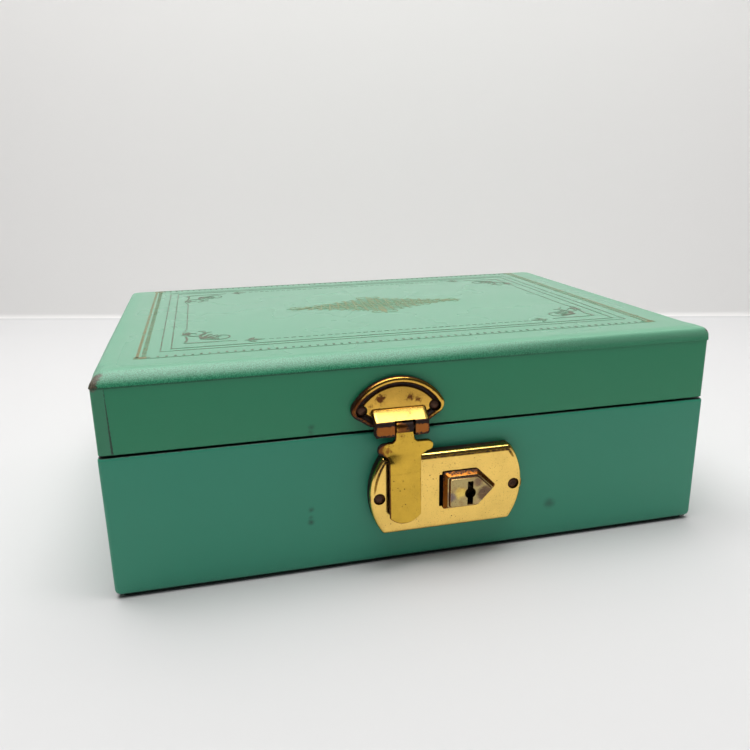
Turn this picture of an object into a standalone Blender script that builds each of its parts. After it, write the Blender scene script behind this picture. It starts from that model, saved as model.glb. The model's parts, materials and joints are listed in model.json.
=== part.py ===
"""A leatherette-covered wooden jewel case for rings, with a hasp lock on its front.

Lengths below are in millimetres; MM turns them into Blender's metres.
Frame: the origin is the centre of the underside, +X to the right, +Y to the back, +Z up.
At rest the lid is closed, the hasp hangs over the lock case and the lock's slide is released.
"""

import math

import bmesh
import bpy
from mathutils import Matrix, Vector

MM = 0.001
GAP = 0.3  # clearance between neighbouring pieces

# Case
WIDTH, DEPTH, HEIGHT = 177.8, 127.0, 63.5
PARTING = 41.4  # height of the line between base and lid
PARTING_GAP = 0.4
COVER = 0.6  # thickness of the leatherette
CORNER = 1.2  # radius of the upright corners
CORNER_STEPS = 4
CORNER_GROWTH = 0.45  # how much a corner's radius gains for each millimetre of chamfer
LID_CHAMFER = 3.1
RIM_CHAMFER = 0.7
NESTED_CHAMFER = 2 - math.sqrt(2)  # what a chamfer loses for each millimetre its block is inset
UNDER_INSET = 1.6  # how far the paper underside stands back from the cover's foot
BOARD = 5.4
BOTTOM_BOARD = 4.0
TOP_BOARD = 5.0
PAPER = 0.8

# Satin collar that stands out of the base, inside the lid
COLLAR = 1.6
COLLAR_PROUD = 4.0

# Inside
PARTITION_X, PARTITION = 26.9, 2.0
BED_TOP = 20.0
ROLLS, ROLL_HEIGHT = 5, 17.5
FLOOR_PAD = 2.6
LINING = 1.2
LINING_BOTTOM = 46.0
LID_PAD_BOTTOM = 51.5

# Lid hinges, on the outer back face
HINGE_X, HINGE_WIDTH, LEAF_HEIGHT, LEAF = 52.0, 24.0, 10.5, 0.8
BARREL, HINGE_PIN, PIN_HOLE = 1.9, 0.75, 1.0
AXIS_Y, AXIS_Z = 65.9, PARTING
SCREW_X, SCREW_Z = 7.5, 6.6

# Half-moon plate of the hasp, on the lid
MOON_X, MOON_HALF, MOON_TOP, MOON_TIP_Z = -9.4, 13.9, 57.0, 48.3
MOON_TIP = 2.1  # radius of its two tips
MOON_FOOT, MOON_FOOT_Z = 8.2, 43.0
MOON_PROUD, MOON_DISH = 2.0, 0.7
MOON_NAIL_X, MOON_NAIL_Z = 10.5, 47.9

# Knuckle housing and hasp
HOUSE_LEFT, HOUSE_RIGHT = -17.0, -1.7
HOUSE_TOP, HOUSE_FRONT_TOP, EAR_BOTTOM, HOUSE_PROUD, SHEET = 48.2, 46.0, 41.0, 5.8, 0.8
HASP_X, HASP_AXIS_PROUD, HASP_AXIS_Z = -8.7, 3.9, 43.4
HASP_BARREL, HASP_PIN = 1.6, 0.75
NECK, EARS, TONGUE = 5.2, 16.1, 9.3
EARS_TOP, EARS_BOTTOM, TONGUE_TOP, TONGUE_END = 39.4, 35.8, 34.0, 14.9
HASP_SHEET = 1.0
STAPLE, STAPLE_BOTTOM, STAPLE_TOP, STAPLE_DEEP = 1.2, 27.6, 32.4, 3.3
EYE, EYE_DEEP = 1.15, 1.75  # radius of the eye, and its depth behind the lock's face
FINGER_Z = 30.0

# Lock case
LOCK_X, LOCK_Z, LOCK_HALF, LOCK_HALF_HEIGHT, LOCK_BOW = 4.35, 22.8, 22.85, 11.75, 3.8
LOCK_PROUD, LOCK_SHEET, LOCK_CORNER, LOCK_ROUND = 4.0, 0.8, 1.5, 0.9
LOCK_NAIL_X, LOCK_NAIL_Z = 20.15, 22.3
NAIL_HOLE, NAIL_HEAD, NAIL_SHANK, BOSS = 1.7, 1.45, 0.7, 2.7
TRAVEL = 3.2

# Button, bolt and cam
BUTTON_BACK, BUTTON_SHOULDER, BUTTON_TIP, BUTTON_HALF = 2.7, 13.2, 18.7, 5.7
BUTTON_STEP, BUTTON_PROUD, BUTTON_INSET = 1.1, 2.7, 1.2
SHANK_LEFT, SHANK_RIGHT, SHANK_HALF = 5.2, 13.0, 4.6
KEY_X, KEY_Z, KEY_SLOT, KEY_HEIGHT, KEY_ROUND = 10.2, 22.2, 1.65, 7.3, 1.65
BOLT_LEFT, BOLT_RIGHT, BOLT_BOTTOM, BOLT_TOP, BOLT = -3.6, 16.2, 15.2, 31.2, 1.0
FINGER_LEFT, FINGER = -7.2, 1.3
SPRING, SPRING_RISE, SPRING_HALF = 0.4, 2.0, 7.0
CAM, CAM_WALL, CAM_HUB, CAM_JOURNAL, CAM_WEB = 5.2, 1.0, 2.4, 2.1, 0.6
CAM_NOTCH, CAM_POST, CAM_POST_X = 1.9, 0.5, 3.7
POCKET_LEFT, POCKET_RIGHT, POCKET_BOTTOM, POCKET_TOP, POCKET_DEEP = -13.6, 22.2, 13.6, 32.2, 2.0

FACE = -DEPTH / 2  # y of the case's front face
LOCK_FACE = FACE - LOCK_PROUD

# name: (colour, roughness, metallic)
FINISHES = {
    "leatherette": ((0.17, 0.44, 0.33), 0.5, 0.0),
    "board": ((0.45, 0.32, 0.2), 0.8, 0.0),
    "paper": ((0.12, 0.13, 0.12), 0.9, 0.0),
    "satin": ((0.83, 0.74, 0.58), 0.4, 0.0),
    "velvet": ((0.80, 0.70, 0.53), 0.9, 0.0),
    "brass": ((0.83, 0.55, 0.16), 0.25, 1.0),
    "dark_brass": ((0.45, 0.30, 0.09), 0.35, 1.0),
    "steel": ((0.35, 0.33, 0.3), 0.4, 1.0),
}


def clear_scene():
    for obj in list(bpy.data.objects):
        bpy.data.objects.remove(obj)


def new_collection(name):
    made = bpy.data.collections.new(name)
    bpy.context.scene.collection.children.link(made)
    return made


def finish_material(name):
    made = bpy.data.materials.get(name)
    if made:
        return made
    colour, roughness, metallic = FINISHES[name]
    made = bpy.data.materials.new(name)
    made.use_nodes = True
    shader = made.node_tree.nodes["Principled BSDF"]
    shader.inputs["Base Color"].default_value = (*colour, 1.0)
    shader.inputs["Roughness"].default_value = roughness
    shader.inputs["Metallic"].default_value = metallic
    return made


def pivot(name, point_mm, parent=None):
    """An empty on a joint's axis, which its moving pieces hang from."""
    made = bpy.data.objects.new(name, None)
    made.empty_display_size = 5 * MM
    PARTS.objects.link(made)
    made.matrix_world = Matrix.Translation(Vector(point_mm) * MM)
    hang(made, parent)
    return made


def hang(obj, parent):
    if parent:
        obj.parent = parent
        obj.matrix_parent_inverse = WORLD_OF[parent.name].inverted()
    WORLD_OF[obj.name] = obj.matrix_world.copy() if obj.type == "EMPTY" else Matrix.Identity(4)


def place(mesh, name, finish, parent=None, smooth=True):
    """Puts a mesh, already in the case's frame, into the parts collection."""
    obj = bpy.data.objects.new(name, mesh)
    PARTS.objects.link(obj)
    mesh.materials.clear()
    mesh.materials.append(finish_material(finish))
    if smooth:
        mesh.shade_smooth()
        mesh.set_sharp_from_angle(angle=math.radians(35))
    hang(obj, parent)
    return obj


def cutter(mesh, name):
    obj = bpy.data.objects.new(name, mesh)
    CUTTERS.objects.link(obj)
    obj.hide_render = True
    obj.display_type = "WIRE"
    return obj


def cut(obj, tool, operation="DIFFERENCE", solver="EXACT"):
    modifier = obj.modifiers.new(tool.name, "BOOLEAN")
    modifier.operation = operation
    modifier.solver = solver
    modifier.object = tool
    return obj


def soften(obj, width, segments=2):
    modifier = obj.modifiers.new("Soft edges", "BEVEL")
    modifier.width = width * MM
    modifier.segments = segments
    modifier.limit_method = "ANGLE"
    modifier.angle_limit = math.radians(50)
    return obj


def mesh_from(bm, name):
    """A mesh of these faces; a closed one is turned to face out."""
    mesh = bpy.data.meshes.new(name)
    if all(edge.is_manifold for edge in bm.edges):
        bmesh.ops.recalc_face_normals(bm, faces=bm.faces)
        if bm.calc_volume(signed=True) < 0:
            bmesh.ops.reverse_faces(bm, faces=bm.faces)
    bm.to_mesh(mesh)
    bm.free()
    return mesh


def plan_outline(low, high, inset, radius):
    """The block's plan, moved in by the inset, with rounded corners."""
    left, front, right, back = low[0] + inset, low[1] + inset, high[0] - inset, high[1] - inset
    if not radius:
        return [(left, front), (right, front), (right, back), (left, back)]
    points = []
    for x, y, start in ((right - radius, front + radius, -90), (right - radius, back - radius, 0),
                        (left + radius, back - radius, 90), (left + radius, front + radius, 180)):
        points += arc(x, y, radius, start, start + 90, CORNER_STEPS)
    return points


def block_bmesh(low, high, corner=0.0, chamfer=0.0):
    """A block between two corners, with rounded upright edges and a chamfered top edge."""
    levels = [(low[2], 0.0), (high[2] - chamfer, 0.0)]
    if chamfer:
        levels.append((high[2], chamfer))
    bm = bmesh.new()
    loops = []
    for z, inset in levels:
        radius = corner + CORNER_GROWTH * inset if corner else 0.0
        outline = plan_outline(low, high, inset, radius)
        loops.append([bm.verts.new((x * MM, y * MM, z * MM)) for x, y in outline])
    for lower, upper in zip(loops, loops[1:]):
        for i in range(len(lower)):
            j = (i + 1) % len(lower)
            bm.faces.new((lower[i], lower[j], upper[j], upper[i]))
    bm.faces.new(list(reversed(loops[0])))
    bm.faces.new(loops[-1])
    return bm


def block(name, low, high, finish, parent=None, corner=0.0, chamfer=0.0):
    mesh = mesh_from(block_bmesh(low, high, corner, chamfer), name)
    return place(mesh, name, finish, parent)


def block_cutter(name, low, high):
    return cutter(mesh_from(block_bmesh(low, high), name), name)


def rod_mesh(name, start, end, radius, steps=20):
    """A round rod between two points of the case."""
    start, end = Vector(start) * MM, Vector(end) * MM
    bm = bmesh.new()
    bmesh.ops.create_cone(bm, cap_ends=True, segments=steps, radius1=radius * MM,
                          radius2=radius * MM, depth=(end - start).length)
    turn = (end - start).to_track_quat("Z", "Y").to_matrix().to_4x4()
    bm.transform(Matrix.Translation((start + end) / 2) @ turn)
    return mesh_from(bm, name)


def rod_cutter(name, start, end, radius):
    return cutter(rod_mesh(name, start, end, radius), name)


PLANES = {  # where a flat outline's own x, y and thickness point in the case
    "front": Matrix(((1, 0, 0, 0), (0, 0, -1, 0), (0, 1, 0, 0), (0, 0, 0, 1))),
    "side": Matrix(((0, 0, 1, 0), (1, 0, 0, 0), (0, 1, 0, 0), (0, 0, 0, 1))),
}


def sheet_mesh(name, outline, plane, near, far):
    """A flat outline made a solid between two depths: y for a front outline, x for a side one."""
    curve = bpy.data.curves.new(name, "CURVE")
    curve.dimensions = "2D"
    curve.fill_mode = "BOTH"
    curve.extrude = abs(far - near) / 2 * MM
    spline = curve.splines.new("POLY")
    spline.points.add(len(outline) - 1)
    for point, (a, b) in zip(spline.points, outline):
        point.co = (a * MM, b * MM, 0.0, 1.0)
    spline.use_cyclic_u = True
    guide = bpy.data.objects.new(name + "_outline", curve)
    bpy.context.scene.collection.objects.link(guide)
    bpy.context.view_layer.update()
    flat = bpy.data.meshes.new_from_object(guide.evaluated_get(bpy.context.evaluated_depsgraph_get()))
    bpy.data.objects.remove(guide)
    bpy.data.curves.remove(curve)
    bm = bmesh.new()
    bm.from_mesh(flat)
    bpy.data.meshes.remove(flat)
    bmesh.ops.remove_doubles(bm, verts=bm.verts, dist=1e-6)
    bmesh.ops.dissolve_limit(bm, angle_limit=1e-3, verts=bm.verts, edges=bm.edges)
    depth = (near + far) / 2 * MM
    shift = (0, depth, 0) if plane == "front" else (depth, 0, 0)
    bm.transform(Matrix.Translation(shift) @ PLANES[plane])
    return mesh_from(bm, name)


def turned_mesh(name, profile, place_at, pointing, steps=16):
    """A turned piece: its profile is (radius, height) pairs from tip to foot, then placed along a way."""
    line = bpy.data.meshes.new(name + "_profile")
    points = [(r * MM, 0.0, h * MM) for r, h in profile]
    line.from_pydata(points, [(i, i + 1) for i in range(len(points) - 1)], [])
    guide = bpy.data.objects.new(name + "_guide", line)
    bpy.context.scene.collection.objects.link(guide)
    screw = guide.modifiers.new("Turn", "SCREW")
    screw.steps = screw.render_steps = steps
    screw.use_merge_vertices = True
    screw.merge_threshold = 1e-6
    bpy.context.view_layer.update()
    made = bpy.data.meshes.new_from_object(guide.evaluated_get(bpy.context.evaluated_depsgraph_get()))
    bpy.data.objects.remove(guide)
    bm = bmesh.new()
    bm.from_mesh(made)
    bpy.data.meshes.remove(made)
    bmesh.ops.remove_doubles(bm, verts=bm.verts, dist=1e-7)
    turn = Vector(pointing).to_track_quat("Z", "Y").to_matrix().to_4x4()
    bm.transform(Matrix.Translation(Vector(place_at) * MM) @ turn)
    return mesh_from(bm, name)


def arc(x, z, radius, start, end, steps):
    """Points on an arc, in degrees from +X towards +Z, both ends included."""
    angles = [math.radians(start + (end - start) * i / steps) for i in range(steps + 1)]
    return [(x + radius * math.cos(a), z + radius * math.sin(a)) for a in angles]


# ---------------------------------------------------------------- base


def build_base_boards():
    out = COVER + GAP
    half_x, half_y = WIDTH / 2 - out, DEPTH / 2 - out
    top = PARTING - PARTING_GAP / 2 - COVER - GAP
    floor = PAPER + GAP
    for name, side in (("front", -1), ("back", 1)):
        low = (-half_x, min(side * half_y, side * (half_y - BOARD)), floor)
        high = (half_x, max(side * half_y, side * (half_y - BOARD)), top)
        rounded_board(f"base_{name}_board", low, high, side)
    inner_y = half_y - BOARD - GAP
    for name, side in (("left", -1), ("right", 1)):
        low = (min(side * half_x, side * (half_x - BOARD)), -inner_y, floor)
        high = (max(side * half_x, side * (half_x - BOARD)), inner_y, top)
        block(f"base_{name}_board", low, high, "board")
    inner_x = half_x - BOARD - GAP
    block("base_bottom_board", (-inner_x, -inner_y, floor), (inner_x, inner_y, floor + BOTTOM_BOARD),
          "board")


def rounded_board(name, low, high, side, parent=None):
    """A long board whose two outer upright edges follow the cover's rounded corners."""
    bm = block_bmesh(low, high)
    outer = side * max(abs(low[1]), abs(high[1])) * MM
    tall = (high[2] - low[2]) / 2 * MM
    edges = [e for e in bm.edges
             if abs(e.verts[0].co.z - e.verts[1].co.z) > tall and abs(e.verts[0].co.y - outer) < 1e-7]
    bmesh.ops.bevel(bm, geom=edges, offset=(CORNER - COVER - GAP) * MM, segments=4,
                    profile=0.5, affect="EDGES")
    return place(mesh_from(bm, name), name, "board", parent)


def wrapped_cover(name, low_z, high_z, chamfer, floor_z, roof_z, parent=None):
    """A sheet wrapped round the boards: a chamfered block, hollowed, with an opening inside its lips."""
    half_x, half_y = WIDTH / 2, DEPTH / 2
    cover = block(name, (-half_x, -half_y, low_z), (half_x, half_y, high_z), "leatherette", parent,
                  CORNER, chamfer)
    hollow_x, hollow_y = half_x - COVER, half_y - COVER
    hollow = block_bmesh((-hollow_x, -hollow_y, floor_z), (hollow_x, hollow_y, roof_z),
                         CORNER - COVER, chamfer - NESTED_CHAMFER * COVER)
    cut(cover, cutter(mesh_from(hollow, f"{name}_hollow"), f"{name}_hollow"))
    mouth_x, mouth_y = hollow_x - BOARD, hollow_y - BOARD
    mouth_z = (low_z - 1, floor_z + 1) if roof_z < high_z and floor_z > low_z else (roof_z - 1, high_z + 1)
    cut(cover, block_cutter(f"{name}_mouth", (-mouth_x, -mouth_y, mouth_z[0]),
                            (mouth_x, mouth_y, mouth_z[1])))
    return cover


def build_base_cover():
    """Four walls and a lip turned in over the boards' top edges, open underneath."""
    rim = PARTING - PARTING_GAP / 2
    return wrapped_cover("base_cover", PAPER, rim, RIM_CHAMFER, -1, rim - COVER)


def build_underside():
    bm = block_bmesh((-WIDTH / 2 + UNDER_INSET, -DEPTH / 2 + UNDER_INSET, 0),
                     (WIDTH / 2 - UNDER_INSET, DEPTH / 2 - UNDER_INSET, PAPER), CORNER)
    return place(mesh_from(bm, "base_underside_paper"), "base_underside_paper", "paper")


def build_collar():
    """Four satin-covered boards inside the base, standing out of it to guide the lid."""
    half_x = WIDTH / 2 - COVER - 2 * GAP - BOARD
    half_y = DEPTH / 2 - COVER - 2 * GAP - BOARD
    bottom = PAPER + 2 * GAP + BOTTOM_BOARD
    top = PARTING - PARTING_GAP / 2 + COLLAR_PROUD
    for name, side in (("front", -1), ("back", 1)):
        low = (-half_x, min(side * half_y, side * (half_y - COLLAR)), bottom)
        high = (half_x, max(side * half_y, side * (half_y - COLLAR)), top)
        soften(block(f"collar_{name}", low, high, "satin"), 0.5)
    short = half_y - COLLAR - GAP
    for name, side in (("left", -1), ("right", 1)):
        low = (min(side * half_x, side * (half_x - COLLAR)), -short, bottom)
        high = (max(side * half_x, side * (half_x - COLLAR)), short, top)
        soften(block(f"collar_{name}", low, high, "satin"), 0.5)
    return half_x - COLLAR - GAP, short, bottom


def build_inside(half_x, half_y, floor):
    """Ring rolls on a raised bed at the left, an open compartment with a pad at the right."""
    left_end = PARTITION_X - PARTITION / 2 - GAP
    right_start = PARTITION_X + PARTITION / 2 + GAP
    block("partition", (PARTITION_X - PARTITION / 2, -half_y, floor),
          (PARTITION_X + PARTITION / 2, half_y, PARTING - 2.0), "satin")
    block("ring_bed", (-half_x, -half_y, floor), (left_end, half_y, BED_TOP), "velvet")
    soften(block("compartment_pad", (right_start, -half_y, floor),
                 (half_x, half_y, floor + FLOOR_PAD), "velvet"), 0.8)
    pitch = 2 * half_y / ROLLS
    for i in range(ROLLS):
        near = -half_y + i * pitch + GAP / 2
        roll = block(f"ring_roll_{i + 1}", (-half_x + GAP, near, BED_TOP + GAP),
                     (left_end - GAP, near + pitch - GAP, BED_TOP + GAP + ROLL_HEIGHT), "velvet")
        soften(roll, 7.5, 4)


# ---------------------------------------------------------------- lid


def build_lid_boards(parent):
    out = COVER + GAP
    half_x, half_y = WIDTH / 2 - out, DEPTH / 2 - out
    low_z = PARTING + PARTING_GAP / 2 + COVER + GAP
    top = HEIGHT - out
    under = top - TOP_BOARD
    block("lid_top_board", (-half_x, -half_y, under), (half_x, half_y, top), "board", parent,
          CORNER - out, LID_CHAMFER - NESTED_CHAMFER * out)
    for name, side in (("front", -1), ("back", 1)):
        low = (-half_x, min(side * half_y, side * (half_y - BOARD)), low_z)
        high = (half_x, max(side * half_y, side * (half_y - BOARD)), under - GAP)
        rounded_board(f"lid_{name}_board", low, high, side, parent)
    inner_y = half_y - BOARD - GAP
    for name, side in (("left", -1), ("right", 1)):
        low = (min(side * half_x, side * (half_x - BOARD)), -inner_y, low_z)
        high = (max(side * half_x, side * (half_x - BOARD)), inner_y, under - GAP)
        block(f"lid_{name}_board", low, high, "board", parent)


def build_lid_cover(parent):
    """Top, four walls and a lip turned in under the boards' lower edges."""
    low = PARTING + PARTING_GAP / 2
    return wrapped_cover("lid_cover", low, HEIGHT, LID_CHAMFER, low + COVER, HEIGHT - COVER, parent)


def build_lid_lining(parent):
    inset = COVER + 2 * GAP + BOARD
    half_x, half_y = WIDTH / 2 - inset, DEPTH / 2 - inset
    top = HEIGHT - COVER - 2 * GAP - TOP_BOARD
    frame = block("lid_lining", (-half_x, -half_y, LINING_BOTTOM), (half_x, half_y, top), "satin", parent)
    hole = block_cutter("lid_lining_hole", (-half_x + LINING, -half_y + LINING, LINING_BOTTOM - 5),
                        (half_x - LINING, half_y - LINING, top + 5))
    cut(frame, hole)
    inner_x, inner_y = half_x - LINING - GAP, half_y - LINING - GAP
    pad = block("lid_pad", (-inner_x, -inner_y, LID_PAD_BOTTOM), (inner_x, inner_y, top), "satin", parent)
    soften(pad, 2.0, 3)


# ---------------------------------------------------------------- lid hinges


def build_hinge(name, x, lid):
    """A butt hinge with three knuckles: the outer two on the base leaf, the middle one on the lid leaf."""
    left, right = x - HINGE_WIDTH / 2, x + HINGE_WIDTH / 2
    third = HINGE_WIDTH / 3
    near = DEPTH / 2 + GAP
    axis = (AXIS_Y, AXIS_Z)
    knuckles = {
        "base": ((left, left + third - GAP / 2), (right - third + GAP / 2, right)),
        "lid": ((left + third + GAP / 2, right - third - GAP / 2),),
    }
    for side, way in (("base", -1), ("lid", 1)):
        far_z = AXIS_Z + way * LEAF_HEIGHT
        near_z = AXIS_Z + way * 0.2
        leaf = block(f"{name}_{side}_leaf", (left, near, min(near_z, far_z)),
                     (right, near + LEAF, max(near_z, far_z)), "brass", lid if side == "lid" else None)
        other = "lid" if side == "base" else "base"
        for i, (start, end) in enumerate(knuckles[other]):
            room = block_cutter(f"{name}_{side}_room_{i}", (start - GAP, near - 1, AXIS_Z - BARREL - GAP),
                                (end + GAP, near + 5, AXIS_Z + BARREL + GAP))
            cut(leaf, room)
        for i, (start, end) in enumerate(knuckles[side]):
            mesh = rod_mesh(f"{name}_{side}_knuckle_{i}", (start, *axis), (end, *axis), BARREL)
            cut(leaf, cutter(mesh, f"{name}_{side}_knuckle_{i}"), "UNION")
        cut(leaf, rod_cutter(f"{name}_{side}_bore", (left - 2, *axis), (right + 2, *axis), PIN_HOLE))
        for j, dx in enumerate((-SCREW_X, SCREW_X)):
            hole = rod_cutter(f"{name}_{side}_hole_{j}", (x + dx, near - 12, AXIS_Z + way * SCREW_Z),
                              (x + dx, near + 5, AXIS_Z + way * SCREW_Z), NAIL_SHANK + GAP)
            cut(leaf, hole)
            for target in (f"{side}_cover", f"{side}_back_board"):
                cut(bpy.data.objects[target], hole)
            screw = turned_mesh(f"{name}_{side}_screw_{j + 1}", screw_profile(),
                                (x + dx, near + LEAF + GAP, AXIS_Z + way * SCREW_Z), (0, 1, 0), 12)
            place(screw, f"{name}_{side}_screw_{j + 1}", "steel", lid if side == "lid" else None)
    pin = rod_mesh(f"{name}_pin", (left, *axis), (right, *axis), HINGE_PIN, 16)
    place(pin, f"{name}_pin", "steel")


def screw_profile():
    """A domed head over a plain shank, from the top of the dome to the shank's end."""
    head, dome, shank_end = 1.5, 0.7, -5.5
    return [(0, dome), (head * 0.6, dome * 0.8), (head, 0.15), (head, 0),
            (NAIL_SHANK, 0), (NAIL_SHANK, shank_end + 0.6), (0, shank_end)]


# ---------------------------------------------------------------- hasp


def moon_outline(inset=0.0):
    """An arch over two rounded tips, with straight sides running in to a narrower foot."""
    rise = MOON_TOP - MOON_TIP_Z
    radius = (MOON_HALF**2 + rise**2) / (2 * rise)
    middle_z = MOON_TOP - radius
    tip = MOON_TIP - inset
    reach = radius - MOON_TIP
    # each tip's circle sits inside the arch and just touches it
    tip_z = MOON_TIP_Z - 0.2
    tip_x = math.sqrt(reach**2 - (tip_z - middle_z) ** 2)
    touch = math.degrees(math.atan2(tip_z - middle_z, tip_x))
    points = arc(MOON_X, middle_z, radius - inset, touch, 180 - touch, 16)
    points += arc(MOON_X - tip_x, tip_z, tip, 180 - touch, 225, 4)[1:]
    points += [(MOON_X - MOON_FOOT, MOON_FOOT_Z + inset), (MOON_X + MOON_FOOT, MOON_FOOT_Z + inset)]
    points += arc(MOON_X + tip_x, tip_z, tip, -45, touch, 4)[:-1]
    return points


def build_hasp_plate(parent):
    """The half-moon plate with a dished face, and the housing that holds the hasp's pin."""
    back = FACE - GAP
    front = FACE - MOON_PROUD
    plate = place(sheet_mesh("hasp_plate", moon_outline(), "front", back, front), "hasp_plate",
                  "dark_brass", parent)
    soften(plate, 0.55, 3)
    dish = sheet_mesh("hasp_plate_dish", moon_outline(1.5), "front", front + MOON_DISH, front - 5)
    cut(plate, cutter(dish, "hasp_plate_dish"))
    house_front = FACE - HOUSE_PROUD
    roof = [(back - 0.6, HOUSE_TOP), (house_front, HOUSE_FRONT_TOP),
            (house_front, EAR_BOTTOM), (house_front + 3.2, EAR_BOTTOM),
            (house_front + 3.2, HOUSE_FRONT_TOP - SHEET + 0.6), (back - 0.6, HOUSE_TOP - 2 * SHEET)]
    house = cutter(sheet_mesh("hasp_house", roof, "side", HOUSE_LEFT, HOUSE_RIGHT), "hasp_house")
    soften(house, 0.35, 2)
    cut(plate, house, "UNION")
    half = NECK / 2 + GAP
    mouth = block_cutter("hasp_mouth", (HASP_X - half, house_front - 2, EAR_BOTTOM - 2),
                         (HASP_X + half, back - 1.0, HASP_AXIS_Z + HASP_BARREL + GAP))
    cut(plate, mouth)
    axis = (FACE - HASP_AXIS_PROUD, HASP_AXIS_Z)
    cut(plate, rod_cutter("hasp_bore", (HOUSE_LEFT - 2, *axis), (HOUSE_RIGHT + 2, *axis), PIN_HOLE))
    for i, side in enumerate((-1, 1)):
        x = MOON_X + side * MOON_NAIL_X
        set_nail(f"hasp_plate_nail_{i + 1}", x, MOON_NAIL_Z, front + MOON_DISH, 0.5, plate,
                 ("lid_cover", "lid_front_board"), parent)
    pin = rod_mesh("hasp_pin", (HOUSE_LEFT + 0.2, *axis), (HOUSE_RIGHT - 0.2, *axis), HASP_PIN, 16)
    place(pin, "hasp_pin", "dark_brass", parent)


def set_nail(name, x, z, face, sunk, plate, behind, parent=None):
    """A nail whose head sits sunk in a round recess of the plate and whose shank goes into the board."""
    head_back = face + sunk + 0.35
    recess = rod_cutter(f"{name}_recess", (x, face - 5, z), (x, head_back, z), NAIL_HOLE)
    hole = rod_cutter(f"{name}_hole", (x, face - 1, z), (x, FACE + 6, z), NAIL_SHANK + GAP)
    cut(plate, recess)
    cut(plate, hole)
    for target in behind:
        cut(bpy.data.objects[target], hole)
    head_front = face + sunk - 0.15
    length = FACE + 5 - head_back
    profile = [(0, 0.35), (NAIL_HEAD * 0.65, 0.25), (NAIL_HEAD, 0), (NAIL_HEAD, -0.2),
               (NAIL_SHANK, -0.2), (NAIL_SHANK, -length + 0.8), (0, -length)]
    mesh = turned_mesh(name, profile, (x, head_front, z), (0, -1, 0), 16)
    return place(mesh, name, "steel", parent)


def hasp_outline():
    """Neck, two side ears with rounded ends, and a tongue with a rounded end."""
    half_neck, half_ears, half_tongue = NECK / 2, EARS / 2, TONGUE / 2
    ear_r = (EARS_TOP - EARS_BOTTOM) / 2
    ear_z = (EARS_TOP + EARS_BOTTOM) / 2
    bow = 2.2  # how far the tongue's end is rounded
    bow_r = (half_tongue**2 + bow**2) / (2 * bow)
    spread = math.degrees(math.asin(half_tongue / bow_r))
    right = [(half_neck, HASP_AXIS_Z + 0.4), (half_neck, EARS_TOP + 0.8), (half_neck + 0.8, EARS_TOP)]
    right += arc(half_ears - ear_r, ear_z, ear_r, 90, -90, 6)
    right += [(half_tongue + 0.8, EARS_BOTTOM), (half_tongue, TONGUE_TOP)]
    end = arc(0, TONGUE_END + bow_r, bow_r, -90 + spread, -90 - spread, 10)
    left = [(-x, z) for x, z in reversed(right)]
    return [(HASP_X + x, z) for x, z in right + end + left]


def build_hasp(parent):
    """The strap: a sheet that hangs in front of the lock, with a barrel round the hasp's pin."""
    back = LOCK_FACE - GAP
    hasp = place(sheet_mesh("hasp", hasp_outline(), "front", back, back - HASP_SHEET), "hasp",
                 "dark_brass", parent)
    soften(hasp, 0.22, 2)
    axis = (FACE - HASP_AXIS_PROUD, HASP_AXIS_Z)
    half = NECK / 2 - 0.05
    ends = (HASP_X - half, *axis), (HASP_X + half, *axis)
    barrel = cutter(rod_mesh("hasp_barrel", *ends, HASP_BARREL, 24), "hasp_barrel")
    cut(hasp, barrel, "UNION", "MANIFOLD")
    bore = rod_cutter("hasp_barrel_bore", (ends[0][0] - 2, *axis), (ends[1][0] + 2, *axis), PIN_HOLE)
    cut(hasp, bore, solver="MANIFOLD")
    staple = block("hasp_staple", (HASP_X - STAPLE / 2, LOCK_FACE, STAPLE_BOTTOM),
                   (HASP_X + STAPLE / 2, LOCK_FACE + STAPLE_DEEP, STAPLE_TOP), "brass", parent)
    eye_y = LOCK_FACE + EYE_DEEP
    cut(staple, rod_cutter("staple_eye", (HASP_X - 3, eye_y, FINGER_Z), (HASP_X + 3, eye_y, FINGER_Z), EYE))


# ---------------------------------------------------------------- lock


def lock_outline(inset=0.0):
    """A rectangle whose two ends bow outwards."""
    half_height = LOCK_HALF_HEIGHT - inset
    radius = (LOCK_HALF_HEIGHT**2 + LOCK_BOW**2) / (2 * LOCK_BOW)
    middle = LOCK_HALF - radius
    radius -= inset
    spread = math.degrees(math.asin(half_height / radius))
    right = arc(LOCK_X + middle, LOCK_Z, radius, -spread, spread, 10)
    left = arc(LOCK_X - middle, LOCK_Z, radius, 180 - spread, 180 + spread, 10)
    return right + left


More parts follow.
